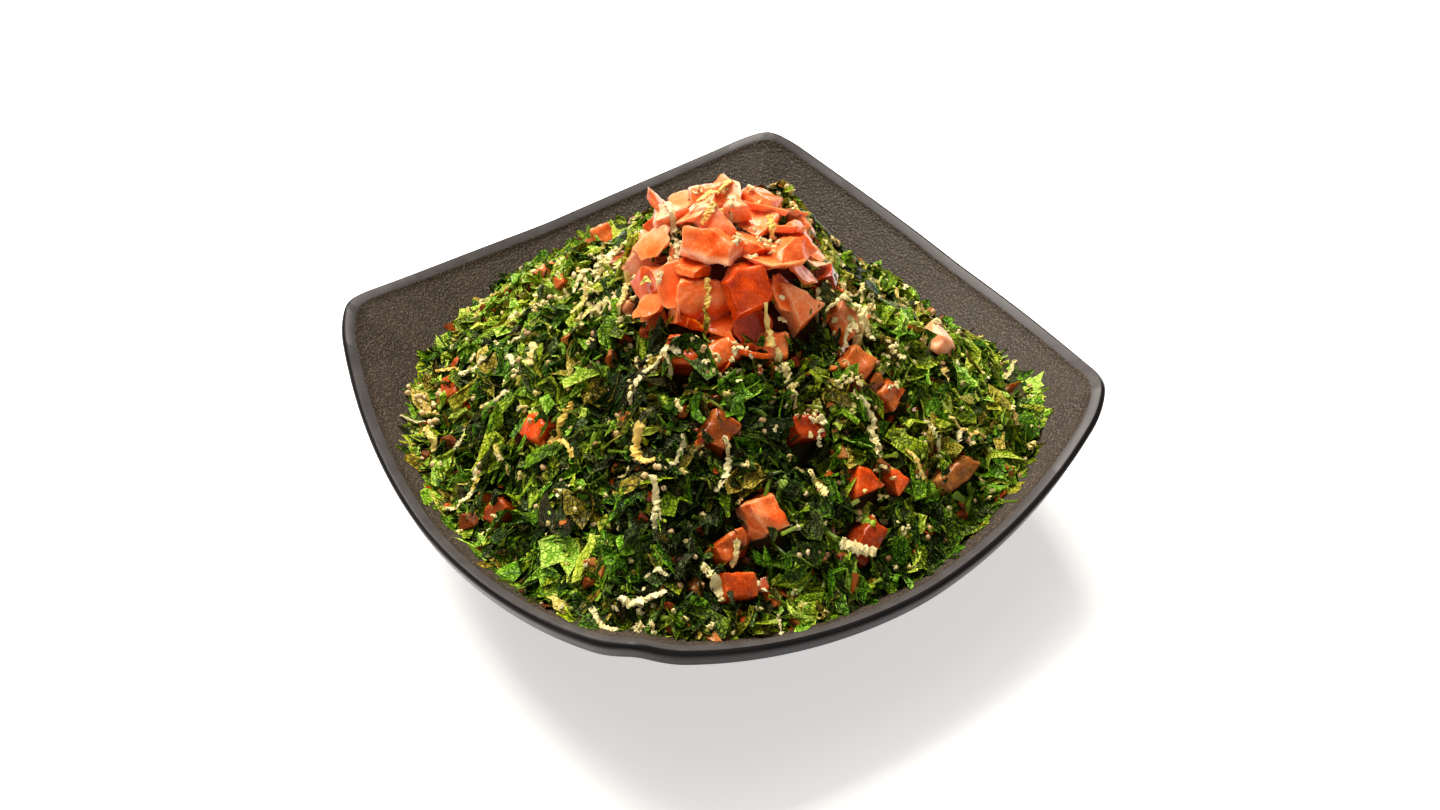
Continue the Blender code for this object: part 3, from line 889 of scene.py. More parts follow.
def frilled_leaf(size):
    """A leaflet with a few lobes and a toothed, crinkled edge."""
    around, rings = 16, 4
    turned = 2 * math.pi * np.arange(around) / around
    lobes, phase = rng.integers(2, 5), rng.uniform(0, 6.3)
    reach = size / 2 * (0.75 + 0.3 * np.cos(lobes * turned + phase) * rng.uniform(0.5, 1))
    reach *= np.where(np.arange(around) % 2, rng.uniform(0.95, 1.3, around), rng.uniform(0.62, 0.95, around))
    cup, bend, ruffle = rng.uniform(-0.04, 0.12), rng.uniform(-0.07, 0.07), rng.uniform(1.2, 2.6)

    def height(x, y, level):
        crumple = 0.24 * rng.standard_normal(len(x))
        return cup * (x**2 + y**2) + bend * x**2 + ruffle * wavy(x, y, 2.1) * (0.4 + level) + crumple

    points, faces, edge = leaf_sheet(reach, rings, height)
    points[:, 0] *= rng.uniform(0.8, 1.5)
    return points, faces, edge


def chopped_leaf(size):
    """A small cut piece of leaf with straight cuts and torn corners."""
    around, rings = 10, 2
    turned = 2 * math.pi * np.arange(around) / around
    reach = np.full(around, size * 0.62)
    for cut in rng.uniform(0, 2 * math.pi, 3):
        facing = np.maximum(np.cos(turned - cut), 1e-3)
        reach = np.minimum(reach, size * rng.uniform(0.26, 0.5) / facing)
    reach *= rng.uniform(0.62, 1.25, around)
    cup, bend, ruffle = rng.uniform(-0.12, 0.24), rng.uniform(-0.18, 0.18), rng.uniform(0.7, 1.7)

    def height(x, y, level):
        crumple = 0.16 * rng.standard_normal(len(x))
        return cup * (x**2 + y**2) + bend * x * y + ruffle * wavy(x, y, 1.6) * (0.4 + level) + crumple

    points, faces, edge = leaf_sheet(reach, rings, height)
    points[:, 0] *= rng.uniform(0.8, 1.7)
    return points, faces, edge


def leaf_crumb(size):
    """A crumb of leaf with a few torn corners."""
    slope, arch = rng.uniform(-0.5, 0.5), rng.uniform(-0.2, 0.2)
    reach = size / 2 * rng.uniform(0.5, 1.4, 6)
    points, faces, edge = leaf_sheet(reach, 1, lambda x, y, level: slope * x + arch * y**2)
    points[:, 0] *= rng.uniform(0.8, 2.0)
    return points, faces, edge


def path_axes(path, roll):
    """Two directions square to a path at each of its points, turned about it by roll."""
    along = np.gradient(path, axis=0)
    along /= np.linalg.norm(along, axis=1, keepdims=True) + 1e-9
    side = np.cross([0.0, 0.0, 1.0], along)
    side /= np.linalg.norm(side, axis=1, keepdims=True) + 1e-9
    up = np.cross(along, side)
    roll = np.broadcast_to(roll, len(path))[:, None]
    return np.cos(roll) * side + np.sin(roll) * up, np.cos(roll) * up - np.sin(roll) * side


def tube(path, across, thick, sides, roll):
    """A closed bar along a path, with an oval section of its own width and thickness at each point."""
    side, up = path_axes(path, roll)
    turn = 2 * math.pi * np.arange(sides) / sides
    wide = np.cos(turn)[None, :, None] * (np.asarray(across) / 2)[:, None, None] * side[:, None]
    high = np.sin(turn)[None, :, None] * (np.asarray(thick) / 2)[:, None, None] * up[:, None]
    points = (np.asarray(path)[:, None] + wide + high).reshape(-1, 3)
    ends = np.arange(1, sides - 1)
    first = np.stack([np.zeros(sides - 2, int), ends + 1, ends], 1)
    last = (len(path) - 1) * sides + np.stack([np.zeros(sides - 2, int), ends, ends + 1], 1)
    faces = np.concatenate([ring_triangles(len(path), sides), first, last])
    return points, faces, np.zeros(len(points))


def curved_path(length, steps, curl, lift):
    """A path along x that turns sideways and rises, centred on the origin."""
    share = np.linspace(-0.5, 0.5, steps)
    heading = curl * share + 0.25 * rng.standard_normal(steps).cumsum() / steps
    rise = lift * (share * 2) ** 2
    x = np.cumsum(np.cos(heading)) * length / steps
    y = np.cumsum(np.sin(heading)) * length / steps
    path = np.stack([x, y, rise * length], 1)
    return path - path.mean(0)


def folded_strip(length):
    """A long piece of leaf, toothed along its sides, creased along its middle and a little twisted."""
    steps, across = 8, 5
    width = length * rng.uniform(0.18, 0.42)
    path = curved_path(length, steps, rng.uniform(-1.5, 1.5), rng.uniform(-0.35, 0.35))
    side, up = path_axes(path, rng.uniform(-0.6, 0.6) + np.linspace(0, 1, steps) * rng.uniform(-1.3, 1.3))
    ends = 0.3 + 0.7 * np.sin(math.pi * np.linspace(0.06, 0.94, steps)) ** 0.6
    over = np.linspace(-1, 1, across)
    reach = np.abs(over) * width / 2 * ends[:, None] * rng.uniform(0.6, 1.35, (steps, across))
    fold, curl = rng.uniform(-0.2, 1.0), rng.uniform(-0.5, 0.7)
    turn = fold + curl * np.abs(over)
    wide = (np.sign(over) * reach * np.cos(turn))[:, :, None] * side[:, None]
    high = (reach * np.sin(turn) + 0.12 * rng.standard_normal((steps, across)))[:, :, None] * up[:, None]
    points = (path[:, None] + wide + high).reshape(-1, 3)
    column, border, faces = sheet_grid(steps, across)
    edge = np.maximum(np.abs(over)[column], border)
    points, faces = closed_sheet(points, faces, border, -LEAF_THICK * np.repeat(up, across, 0))
    return points, faces, np.concatenate([edge, edge[~border]])


def sliver(length):
    """A narrow curled shred of leaf."""
    steps = 5
    path = curved_path(length, steps, rng.uniform(-2.0, 2.0), rng.uniform(-0.4, 0.4))
    share = np.linspace(0, 1, steps)
    width = length * rng.uniform(0.12, 0.30) * (0.45 + 0.55 * np.sin(math.pi * (0.12 + 0.76 * share)))
    roll = rng.uniform(0, 6.3) + share * rng.uniform(-1.8, 1.8)
    return tube(path, width * rng.uniform(0.7, 1.25, steps), np.full(steps, LEAF_THICK * 1.3), 4, roll)


def stalk(length):
    """A cut length of stem."""
    steps = 5
    path = curved_path(length, steps, rng.uniform(-0.7, 0.7), rng.uniform(-0.08, 0.08))
    wide = rng.uniform(0.9, 1.7) * rng.uniform(0.9, 1.1, steps)
    return tube(path, wide, wide * rng.uniform(0.75, 1.0), 6, rng.uniform(0, 3))


def chip(size, flat):
    """A cut chip with flat faces and crisp edges."""
    shape = bmesh.new()
    for _ in range(11):
        shape.verts.new(Vector(rng.uniform(-1, 1, 3)).normalized() * rng.uniform(0.75, 1.0))
    bmesh.ops.convex_hull(shape, input=shape.verts)
    bmesh.ops.delete(shape, geom=[vert for vert in shape.verts if not vert.link_faces], context="VERTS")
    bmesh.ops.triangulate(shape, faces=shape.faces)
    points, faces = bmesh_arrays(shape)
    shape.free()
    return points * size / 2 * (1.0, rng.uniform(0.6, 1.0), flat), faces, np.zeros(len(points))


def flat_chip(size):
    return chip(size, rng.uniform(0.35, 0.8))


def templates(make, low, high, count):
    return [make(size) for size in rng.uniform(low, high, count)]


# ---------------------------------------------------------------- scattering

CLEAR_CROWN = 28.0  # few herbs lie on the crown
HIGHEST, LOWEST = 3.4, 0.8  # a leaf stands no further than this over the surface, inside and at the edge
OVERHANG = (-2.5, 1.0, 6.0)  # least, usual and most that a leaf reaches past the edge
EDGE_WIDTH = 16.0
SPILL = 0.5  # how far past the heap's edge a piece may lie
WALL_GAP = 0.15  # least height of a loose piece over the bowl's inner face
HOLLOW_SHADE = 0.35  # how much darker the herbs are in a hollow
MAX_CROWDING = 2.2  # a steep flank has this many times the area that it covers from above


def on_fruit(x, y, gap):
    """Whether a piece of tomato shows within a gap of a place."""
    steps = ((0, 0), (gap, 0), (-gap, 0), (0, gap), (0, -gap))
    return np.any([FRUIT.at(x + dx, y + dy) > HERBS.at(x + dx, y + dy) - 1.0 for dx, dy in steps], axis=0)


def sites(count, stray=0.0, gap=0.0):
    """Places on the heap, evenly over its surface: x, y. A share stray of those on fruit is kept."""
    found_x, found_y = [], []
    while sum(map(len, found_x)) < count:
        x, y = rng.uniform(-MAP_REACH, MAP_REACH, (2, 4 * count))
        edge = EDGES[(np.degrees(np.arctan2(y, x)).astype(int)) % 360] + SPILL
        steep = 1 / HERBS.out(x, y)[:, 2]
        kept = (np.hypot(x, y) < edge) & (rng.uniform(0, MAX_CROWDING, len(x)) < steep)
        crowned = np.hypot(x - CROWN_X, y - CROWN_Y) < CLEAR_CROWN
        kept &= ~on_fruit(x, y, gap) | (rng.uniform(0, 1, len(x)) < np.where(crowned, 0.0, stray))
        found_x.append(x[kept])
        found_y.append(y[kept])
    return np.concatenate(found_x)[:count], np.concatenate(found_y)[:count]


UPWARD = np.array([[0.0, 0.0, 1.0]])


def frames(out, tilt):
    """Axes for pieces that lie on a surface, each turned at random and tilted by up to about tilt."""
    count = len(out)
    spin = rng.standard_normal((count, 3))
    side = np.cross(out, spin)
    side /= np.linalg.norm(side, axis=1, keepdims=True)
    lean = np.radians(np.clip(rng.standard_normal(count) * tilt, -85, 85))[:, None]
    front = np.cross(out, side)
    up = out * np.cos(lean) + front * np.sin(lean)
    front = np.cross(up, side)
    around = rng.uniform(0, 2 * math.pi, count)[:, None]
    first = side * np.cos(around) + front * np.sin(around)
    return np.stack([first, np.cross(up, first), up], 2)


def room(points):
    """How far each point lies inside the edge of the herbs."""
    bearings = np.degrees(np.arctan2(points[:, 1], points[:, 0])).astype(int) % 360
    return EDGES[bearings] - np.hypot(points[:, 0], points[:, 1])


def inwards(points):
    """0 at the edge of the herbs, 1 well inside it."""
    return np.clip(room(points) / EDGE_WIDTH, 0, 1)


def keep_in(points, overhang):
    """Moves a piece inwards until it ends no more than an overhang past the edge of the herbs."""
    out = points[:, :2].mean(0)
    points[:, :2] += out / np.linalg.norm(out) * min(room(points).min() + overhang, 0.0)
    return points


class Spread:
    """How a kind of piece is scattered: how many, how deep, and how it looks."""

    def __init__(self, count, depth, tilt, tone, spread, warm=0.0, stray=0.0, gap=0.0):
        self.count, self.depth, self.tilt, self.tone = count, depth, tilt, tone
        self.spread, self.warm, self.stray, self.gap = spread, warm, stray, gap


def scatter(batch, shapes, how):
    """Lays copies of the shapes on the heap. Depth is the lowest and highest place over the surface."""
    x, y = sites(how.count, how.stray, how.gap)
    out = HERBS.out(x, y)
    centres = np.stack([x, y, BASE.at(x, y)], 1) + out * rng.uniform(*how.depth, how.count)[:, None]
    axes = frames(out, how.tilt)
    sizes = rng.uniform(0.8, 1.25, how.count)
    tones = how.tone + how.spread * rng.standard_normal(how.count)
    # Painted light and shade on the herbs: lighter and darker by place, and darker in the hollows as painted
    # shade.
    tones = tones + CLUMP_AND_PAINTED_LIGHT.at(x, y) - HOLLOW_SHADE * HOLLOWS.at(x, y)
    warms = 0.28 + 0.2 * rng.standard_normal(how.count)
    warms += 0.55 * (rng.uniform(0, 1, how.count) < how.warm)
    picks = rng.integers(0, len(shapes), how.count)
    for centre, axis, size, pick, tone, warm in zip(centres, axes, sizes, picks, tones, warms):
        shape, faces, edge = shapes[pick]
        points = keep_in(centre + (shape * size) @ axis.T, rng.triangular(*OVERHANG))
        over = BASE.at(points[:, 0], points[:, 1]) + LOWEST + (HIGHEST - LOWEST) * inwards(points)
        points[:, 2] = np.minimum(points[:, 2], over + 0.25 * np.maximum(points[:, 2] - over, 0))
        points[:, 2] = np.maximum(points[:, 2], WALL.at(points[:, 0], points[:, 1]) + WALL_GAP)
        local = (shape * size + rng.uniform(0, 60, 3)) * MM
        batch.add(points, faces, local, tone=tone, edge=edge, warm=warm)


# Kinds of parsley: name, shape, smallest and largest size, how many shapes, and how they are scattered.
HERB_KINDS = (
    ("frills", frilled_leaf, 9.0, 15.0, 30, Spread(620, (-2.4, 0.8), 42, 0.47, 0.20, 0.12, 0.01, 5.5)),
    ("strips", folded_strip, 9.0, 20.0, 40, Spread(1200, (-1.8, 1.2), 42, 0.49, 0.24, 0.16, 0.02, 4.5)),
    ("chopped", chopped_leaf, 4.0, 8.5, 40, Spread(2100, (-2.2, 1.0), 50, 0.46, 0.26, 0.20, 0.05, 2.0)),
    ("slivers", sliver, 4.0, 13.0, 50, Spread(2400, (-1.6, 1.4), 46, 0.53, 0.28, 0.18, 0.05, 1.8)),
    ("crumbs", leaf_crumb, 1.6, 3.8, 30, Spread(2600, (-1.4, 0.9), 45, 0.56, 0.28, 0.28, 0.15)),
)


def build_herbs():
    leaf, batches = leaf_finish(), []
    for name, make, low, high, kinds, how in HERB_KINDS:
        batch = Batch("parsley_" + name)
        scatter(batch, templates(make, low, high, kinds), how)
        batch.build(leaf, "salad", sharp=28.0)
        batches.append(batch)
    stalks = Batch("parsley_stalks")
    scatter(stalks, templates(stalk, 4.0, 14.0, 24), Spread(480, (-1.2, 0.8), 22, 0.45, 0.18))
    stalks.build(stem_finish(), "salad")
    return batches + [stalks]


# ---------------------------------------------------------------- tomato

# How each piece looks: tone of the cut flesh, tone of the skin, bearing that the skin faces, how soaked.
TOMATO_LOOKS = {
    "spike": (0.23, 0.43, 90, 0.0),
    "peak": (0.19, 0.39, 40, 0.0),
    "quad": (0.62, 0.66, -60, 0.0),
    "cup": (0.31, 0.53, -90, 0.0),
    "lens": (0.39, 0.55, -20, 0.0),
    "band": (0.23, 0.45, 90, 0.0),
    "left": (0.15, 0.29, 120, 0.0),
    "arch": (0.15, 0.29, -80, 0.0),
    "knob": (0.25, 0.39, 30, 0.0),
    "facet": (0.31, 0.49, -60, 0.0),
    "amber": (0.41, 0.55, -100, 0.0),
    "heel": (0.35, 0.53, 170, 0.3),
    "fan": (0.25, 0.45, -30, 0.1),
    "tab": (0.33, 0.53, -60, 0.2),
    "sill": (0.39, 0.63, -120, 0.2),
    "root": (0.51, 0.73, -150, 0.4),
    "shade": (0.87, 0.95, -60, 0.3),
    "rind": (0.45, 0.69, -150, 0.5),
    "petal": (0.15, 0.38, 150, 0.3),
    "block": (0.55, 0.75, 160, 0.7),
    "shelf": (0.33, 0.53, 0, 0.2),
    "spur": (0.79, 0.91, -30, 0.3),
    "gable": (0.31, 0.49, -60, 0.1),
    "step": (0.47, 0.71, -40, 0.6),
    "ember": (0.52, 0.58, -90, 0.0),
    "spark": (0.50, 0.56, -40, 0.0),
    "cube": (0.29, 0.45, -100, 0.1),
    "blush": (0.13, 0.25, -30, 0.1),
    "tang": (0.59, 0.65, 180, 0.0),
    "leafy": (0.55, 0.69, -100, 0.4),
    "under": (0.55, 0.69, -120, 0.6),
    "seedy": (0.60, 0.78, -130, 0.8),
    "garnet": (0.79, 0.89, -90, 0.4),
    "curb": (0.71, 0.87, -90, 0.5),
    "copper": (0.51, 0.85, -20, 0.6),
    "amberside": (0.51, 0.65, 120, 0.5),
    "rose": (0.31, 0.53, 100, 0.2),
    "rust": (0.55, 0.75, 150, 0.6),
    "brick": (0.71, 0.87, 180, 0.7),
    "tawny": (0.45, 0.63, -70, 0.9),
}
OTHER_LOOKS = (0.34, 0.58, 60, 0.2)  # pieces on the far side
# Pieces of two layers: share of the height where the upper one starts, tones of the upper and the lower.
LAYERS = {"band": (0.52, 0.38, 0.08), "gable": (0.5, 0.2, 0.42), "cube": (0.55, 0.34, 0.2)}
# Pieces with a wet hollow in front: share of the height, half its height as a share, depth, tone.
RECESSES = {"cup": (0.48, 0.14, 3.0, 0.62)}
# Pieces cut smaller than the room they take: how much, and the corner of their box that stays, as shares.
TRIMMED = {"quad": (0.84, (1.0, 0.5, 1.0))}
RECESS_BEARING = -120.0
LONGEST_EDGE, SPLIT_PASSES = 1.0, 5  # size of the cut pieces' facets, and how often they are halved
WELD, CRISP_ANGLE = 0.001, 30.0
SKIN_DIP = -0.3  # how far below level the skin faces


def even_mesh(node):
    """A copy of a CAD node's solid with small facets: points, faces, directions, and 1 along its edges."""
    shape = bmesh.new()
    shape.from_mesh(node.data)
    bmesh.ops.remove_doubles(shape, verts=shape.verts, dist=WELD * MM)
    bmesh.ops.triangulate(shape, faces=shape.faces)
    for _ in range(SPLIT_PASSES):
        long = [edge for edge in shape.edges if edge.calc_length() > LONGEST_EDGE * MM]
        bmesh.ops.subdivide_edges(shape, edges=long, cuts=1)
        bmesh.ops.triangulate(shape, faces=[face for face in shape.faces if len(face.verts) > 3])
    shape.normal_update()
    points, faces = bmesh_arrays(shape)
    normals = np.array([vert.normal for vert in shape.verts])
    edges = np.zeros(len(points))
    for edge in shape.edges:
        if edge.calc_face_angle(0.0) > math.radians(CRISP_ANGLE):
            edges[[vert.index for vert in edge.verts]] = 1.0
    shape.free()
    return points / MM, faces, normals, edges


def soften(points, faces, passes):
    """Rounds a shape off by moving its points towards their neighbours."""
    pairs = np.concatenate([faces[:, [0, 1]], faces[:, [1, 2]], faces[:, [2, 0]]])
    count = np.bincount(pairs[:, 0], minlength=len(points))[:, None]
    for _ in range(passes):
        sums = np.zeros_like(points)
        np.add.at(sums, pairs[:, 0], points[pairs[:, 1]])
        points = (points + sums / count) / 2
    return points


def ripples(points, size, cut=0.0):
    return np.array([noise.noise(Vector(point) / size + Vector((cut, 0, 0))) for point in points])


def dress_tomato(node_name, finish):
    """Replaces a cut piece's CAD node by its solid softened, made uneven and coloured by its looks."""
    name = node_name.removeprefix("tomato_")
    flesh, skin, bearing, soaked = TOMATO_LOOKS.get(name, OTHER_LOOKS)
    points, faces, normals, edges = even_mesh(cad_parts[node_name])
    crowned = np.hypot(*(points.mean(0)[:2] - (CROWN_X, CROWN_Y))) < CLEAR_CROWN
    points = soften(points, faces, 2 if crowned else 4)
    if name in TRIMMED:
        size, corner = TRIMMED[name]
        kept = points.min(0) + np.array(corner) * np.ptp(points, axis=0)
        points = kept + (points - kept) * size
    facing = Vector((math.cos(math.radians(bearing)), math.sin(math.radians(bearing)), SKIN_DIP)).normalized()
    skinned = np.clip((normals @ np.array(facing) - 0.45) / 0.2, 0, 1)
    waves = (0.7 + 0.9 * soaked) * ripples(points, 4.0) + 0.25 * ripples(points, 1.4, 4.0)
    points = points + normals * (waves * (1 - 0.6 * skinned) - 0.18)[:, None]
    tone = flesh + (skin - flesh) * skinned
    share = (points[:, 2] - points[:, 2].min()) / np.ptp(points[:, 2])
    if name in LAYERS:
        start, upper, lower = LAYERS[name]
        tone = lower + (upper - lower) * np.clip((share - start) * 12 + 0.5, 0, 1)
    if name in RECESSES:
        middle, half, depth, wet = RECESSES[name]
        towards = np.cos(np.radians(np.degrees(np.arctan2(normals[:, 1], normals[:, 0])) - RECESS_BEARING))
        inside = np.exp(-(((share - middle) / half) ** 2)) * np.clip(towards * 2 - 0.6, 0, 1)
        points = points - normals * (depth * inside)[:, None]
        tone, skinned = tone + (wet - tone) * inside, np.maximum(skinned, inside)
    tone = tone + 0.16 * ripples(points, 6.0, 9.0)
    mesh = make_mesh("cut_" + name, points, faces)
    for key, values in (("tone", tone), ("skin", skinned), ("edge", edges), ("soaked", soaked + 0 * tone)):
        add_attribute(mesh, key, np.clip(values, 0, 1))
    piece = make_object("cut_" + name, mesh, [finish], sharp=36.0)
    place(piece, "tomato", node_name)


CROWN_BITS = 400  # places tried, of which those clear of the cut pieces are used
SMALL_DICE, SOAKED_DICE = 430, 400  # bits among the herbs
# Thin slices on the crown: x, y, height, length, width, bearing along it, how far its end rises, roll, tones.
CROWN_SLICES = (
    (-6.0, 17.0, 104.5, 11.0, 6.0, 118, 48, 20, 0.24, 0.42),
    (-15.0, 9.0, 100.0, 14.0, 7.0, 128, -34, -26, 0.14, 0.40),
    (0.0, 8.0, 106.5, 15.0, 8.0, 20, 6, -34, 0.12, 0.30),
    (11.0, 10.0, 106.0, 11.0, 8.0, 60, 24, -20, 0.14, 0.30),
    (19.0, 0.0, 103.0, 13.0, 8.0, -30, -18, -30, 0.16, 0.36),
    (18.0, -9.0, 101.5, 12.0, 7.0, -20, -8, -40, 0.22, 0.36),
    (-18.0, -7.0, 96.5, 14.0, 9.0, -150, -24, -35, 0.30, 0.44),
    (-24.0, -3.0, 90.5, 12.0, 8.0, 170, -30, 10, 0.34, 0.48),
    (24.0, -12.0, 95.0, 13.0, 8.0, -60, -34, -20, 0.26, 0.40),
    (30.0, 4.0, 94.0, 13.0, 9.0, 10, -40, -20, 0.20, 0.36),
    (4.0, 20.0, 101.0, 12.0, 9.0, 110, -20, 0, 0.16, 0.34),
    (16.0, 18.0, 98.0, 13.0, 8.0, 40, -30, 0, 0.24, 0.44),
    (9.0, -17.0, 100.5, 17.0, 10.0, -25, -10, -24, 0.30, 0.44),
    (8.0, -24.0, 92.0, 13.0, 9.0, -60, -52, -10, 0.40, 0.60),
    (-4.0, -25.0, 85.5, 12.0, 9.0, -110, -50, 0, 0.62, 0.80),
    (16.0, -20.0, 95.5, 12.0, 9.0, -50, -44, -20, 0.28, 0.42),
    (-8.0, -29.0, 83.5, 13.0, 8.0, -30, -20, -40, 0.50, 0.70),
    (-16.0, -25.0, 83.0, 13.0, 8.0, -140, -30, 25, 0.34, 0.52),
)
SLICE_THICK = 1.6


def slice_shape(length, width):
    """A thin wedge of tomato with a pointed end and a bent, uneven surface."""
    steps, across = 9, 7
    along, over = np.linspace(-0.5, 0.5, steps), np.linspace(-0.5, 0.5, across)
    taper = 0.55 + 0.75 * np.sin(math.pi * (along + 0.5) ** 0.8)
    taper *= np.where(along > 0.2, 1.6 - 2.2 * along, 1.0)
    x = np.repeat(along * length, across) + 0.25 * rng.standard_normal(steps * across)
    y = (over[None] * (taper * width)[:, None]).ravel() + 0.25 * rng.standard_normal(steps * across)
    x, y = x + 1.3 * wavy(x, y, 3.4), y + 1.3 * wavy(y, x, 3.4)
    z = 0.018 * y**2 * rng.choice((-1, 1)) + 0.4 * wavy(x, y, 3.0)
    _, border, faces = sheet_grid(steps, across)
    points = np.stack([x, y, z], 1)
    points, faces = closed_sheet(points, faces, border, np.tile((0.0, 0.0, -SLICE_THICK), (len(points), 1)))
    return points, faces, np.concatenate([border, 0.0 * np.flatnonzero(~border)])


def add_slice(batch, x, y, height, length, width, bearing, rise, roll, low, high):
    points, faces, edge = slice_shape(length, width)
    turn = (Matrix.Rotation(math.radians(bearing), 3, "Z") @ Matrix.Rotation(math.radians(-rise), 3, "Y")
            @ Matrix.Rotation(math.radians(roll), 3, "X"))
    tone = low + (high - low) * np.clip(points[:, 1] / width + 0.5, 0, 1)
    points = points @ np.array(turn).T + (x, y, height)
    batch.add(points, faces, points, tone=tone, edge=edge, skin=0.3, soaked=0.0)


def build_tomatoes():
    finish = tomato_finish()
    for node_name in sorted(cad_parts):
        if node_name.startswith("tomato_"):
            dress_tomato(node_name, finish)
    batch = Batch("crown_bits")
    shapes = templates(flat_chip, 5.0, 11.0, 24)
    around = rng.uniform(0, 2 * math.pi, CROWN_BITS)
    away = CROWN_RADIUS * np.sqrt(rng.uniform(0, 0.95, CROWN_BITS))
    x, y = CROWN_X + away * np.cos(around), CROWN_Y + away * np.sin(around)
    clear = ~on_fruit(x, y, 2.0)
    x, y = x[clear], y[clear]
    for at_x, at_y, axis in zip(x, y, frames(HERBS.out(x, y), 40)):
        shape, faces, edge = shapes[rng.integers(len(shapes))]
        centre = (at_x, at_y, heap_height(at_x, at_y) + rng.uniform(-2.5, 0.6))
        points = shape @ axis.T + centre
        batch.add(points, faces, points, tone=rng.uniform(0.05, 0.5), edge=edge, skin=rng.uniform(0, 0.5),
                  soaked=rng.uniform(0, 0.35))
    for row in CROWN_SLICES:
        add_slice(batch, *row)
    batch.build(finish, "tomato", 25.0)
    bits = Batch("tomato_bits")
    scatter_bits(bits, templates(flat_chip, 2.0, 4.2, 24), SMALL_DICE, (-1.3, 0.6), (0.35, 0.95), (0.4, 1.0))
    scatter_bits(bits, templates(flat_chip, 5.0, 9.0, 24), SOAKED_DICE, (-1.8, 0.6), (0.35, 0.85), (0.5, 1.0))
    bits.build(finish, "tomato", 25.0)
    return [batch, bits]


def scatter_bits(batch, shapes, count, depth, tones, soaks):
    """Bits of tomato, onion and soaked grain among the herbs."""
    x, y = sites(count, 0.05)
    out = HERBS.out(x, y)
    for at_x, at_y, up, axis in zip(x, y, out, frames(out, 45)):
        shape, faces, edge = shapes[rng.integers(len(shapes))]
        centre = np.array([at_x, at_y, HERBS.at(at_x, at_y)]) + up * rng.uniform(*depth)
        points = shape @ axis.T + centre
        points[:, 2] = np.maximum(points[:, 2], WALL.at(points[:, 0], points[:, 1]) + WALL_GAP)
        batch.add(points, faces, points, tone=rng.uniform(*tones), edge=edge, skin=0.2,
                  soaked=rng.uniform(*soaks))


def settle(batches):
    """Finds the top of everything laid so far, for what is strewn over it."""
    first, points, faces = 0, [], []
    for batch in batches:
        points += batch.points
        faces += [part + first for part in batch.faces]
        first += batch.count
    tree = BVHTree.FromPolygons(np.concatenate(points).tolist(), np.concatenate(faces).tolist())
    tops = sampled(lambda x, y: drop(tree, x, y))
    TOP.heights = np.maximum(np.maximum(tops, FRUIT.heights), WALL.heights)


# ---------------------------------------------------------------- cheese

# Shreds: x and y of the middle, bearing along it, length, width, how much it curls, tone.
SHREDS = (
    (-8, 8, 70, 20, 1.7, 0.2, 0.0),
    (1, 2, 12, 15, 1.6, 0.5, 0.5),
    (8, 10, -5, 13, 1.5, 0.3, 0.45),
    (6, 0, 54, 6, 1.2, 0.2, 0.05),
    (14, -8, 60, 8, 1.7, 0.2, 0.6),
    (-21, -4, 42, 10, 1.2, 0.3, 0.0),
    (-12, -14, 55, 8, 1.4, 0.3, 0.65),
    (-2, -29, 60, 8, 1.5, 0.3, 0.5),
    (-3, -39, 75, 20, 1.8, 0.2, 0.3),
    (-31, -15, -20, 13, 2.6, 0.4, 0.02),
    (-28, -19, -65, 10, 2.2, 0.4, 0.02),
    (-11, -62, 92, 17, 1.8, 0.5, 0.35),
    (-34, -53, 25, 13, 1.6, 0.3, 0.1),
    (-54, -50, 55, 17, 2.0, 0.2, 0.1),
    (-49, -36, 78, 17, 2.4, -1.2, 0.6),
    (11, -61, 60, 12, 1.9, 0.3, 0.15),
    (41, -67, -36, 16, 1.5, 0.3, 0.55),
    (-51, -72, 90, 12, 2.2, 0.3, 0.15),
    (-69, -66, -30, 14, 2.6, 0.5, 0.05),
    (-10, -81, -34, 11, 2.8, 0.3, 0.1),
    (-60, 40, -30, 12, 1.9, 0.3, 0.1),
    (-62, 52, 96, 16, 1.3, 1.2, 0.65),
    (-53, 28, 70, 8, 2.0, 0.2, 0.05),
    (-50, 20, 45, 8, 2.2, 0.4, 0.4),
    (-56, -6, 27, 20, 1.3, 0.2, 0.7),
    (-59, -11, 90, 15, 1.2, 0.3, 0.6),
    (-80, 32, 76, 11, 2.0, 0.3, 0.5),
    (-12, 38, 30, 10, 2.2, 0.5, 0.05),
    (-15, 34, -40, 9, 2.0, 0.4, 0.15),
    (-23, 36, 10, 14, 2.0, 0.4, 0.15),
    (-24, 10, 40, 15, 1.6, 0.5, 0.4),
    (-30, 24, 20, 13, 1.6, 0.6, 0.45),
    (22, -29, -20, 14, 2.2, 0.6, 0.1),
    (26, -34, 40, 10, 2.0, 0.5, 0.2),
    (33, -26, -15, 16, 1.4, 0.6, 0.35),
    (34, 20, 70, 9, 1.8, 0.4, 0.55),
    (-44, -60, 40, 11, 1.6, 0.4, 0.15),
    (30, 42, 20, 14, 1.8, 0.5, 0.3),
    (64, 10, -60, 13, 1.8, 0.5, 0.1),
    (10, 62, 5, 15, 1.8, 0.5, 0.2),
    (56, -36, 30, 12, 1.7, 0.5, 0.2),
    (70, -16, 80, 12, 1.7, 0.4, 0.5),
)
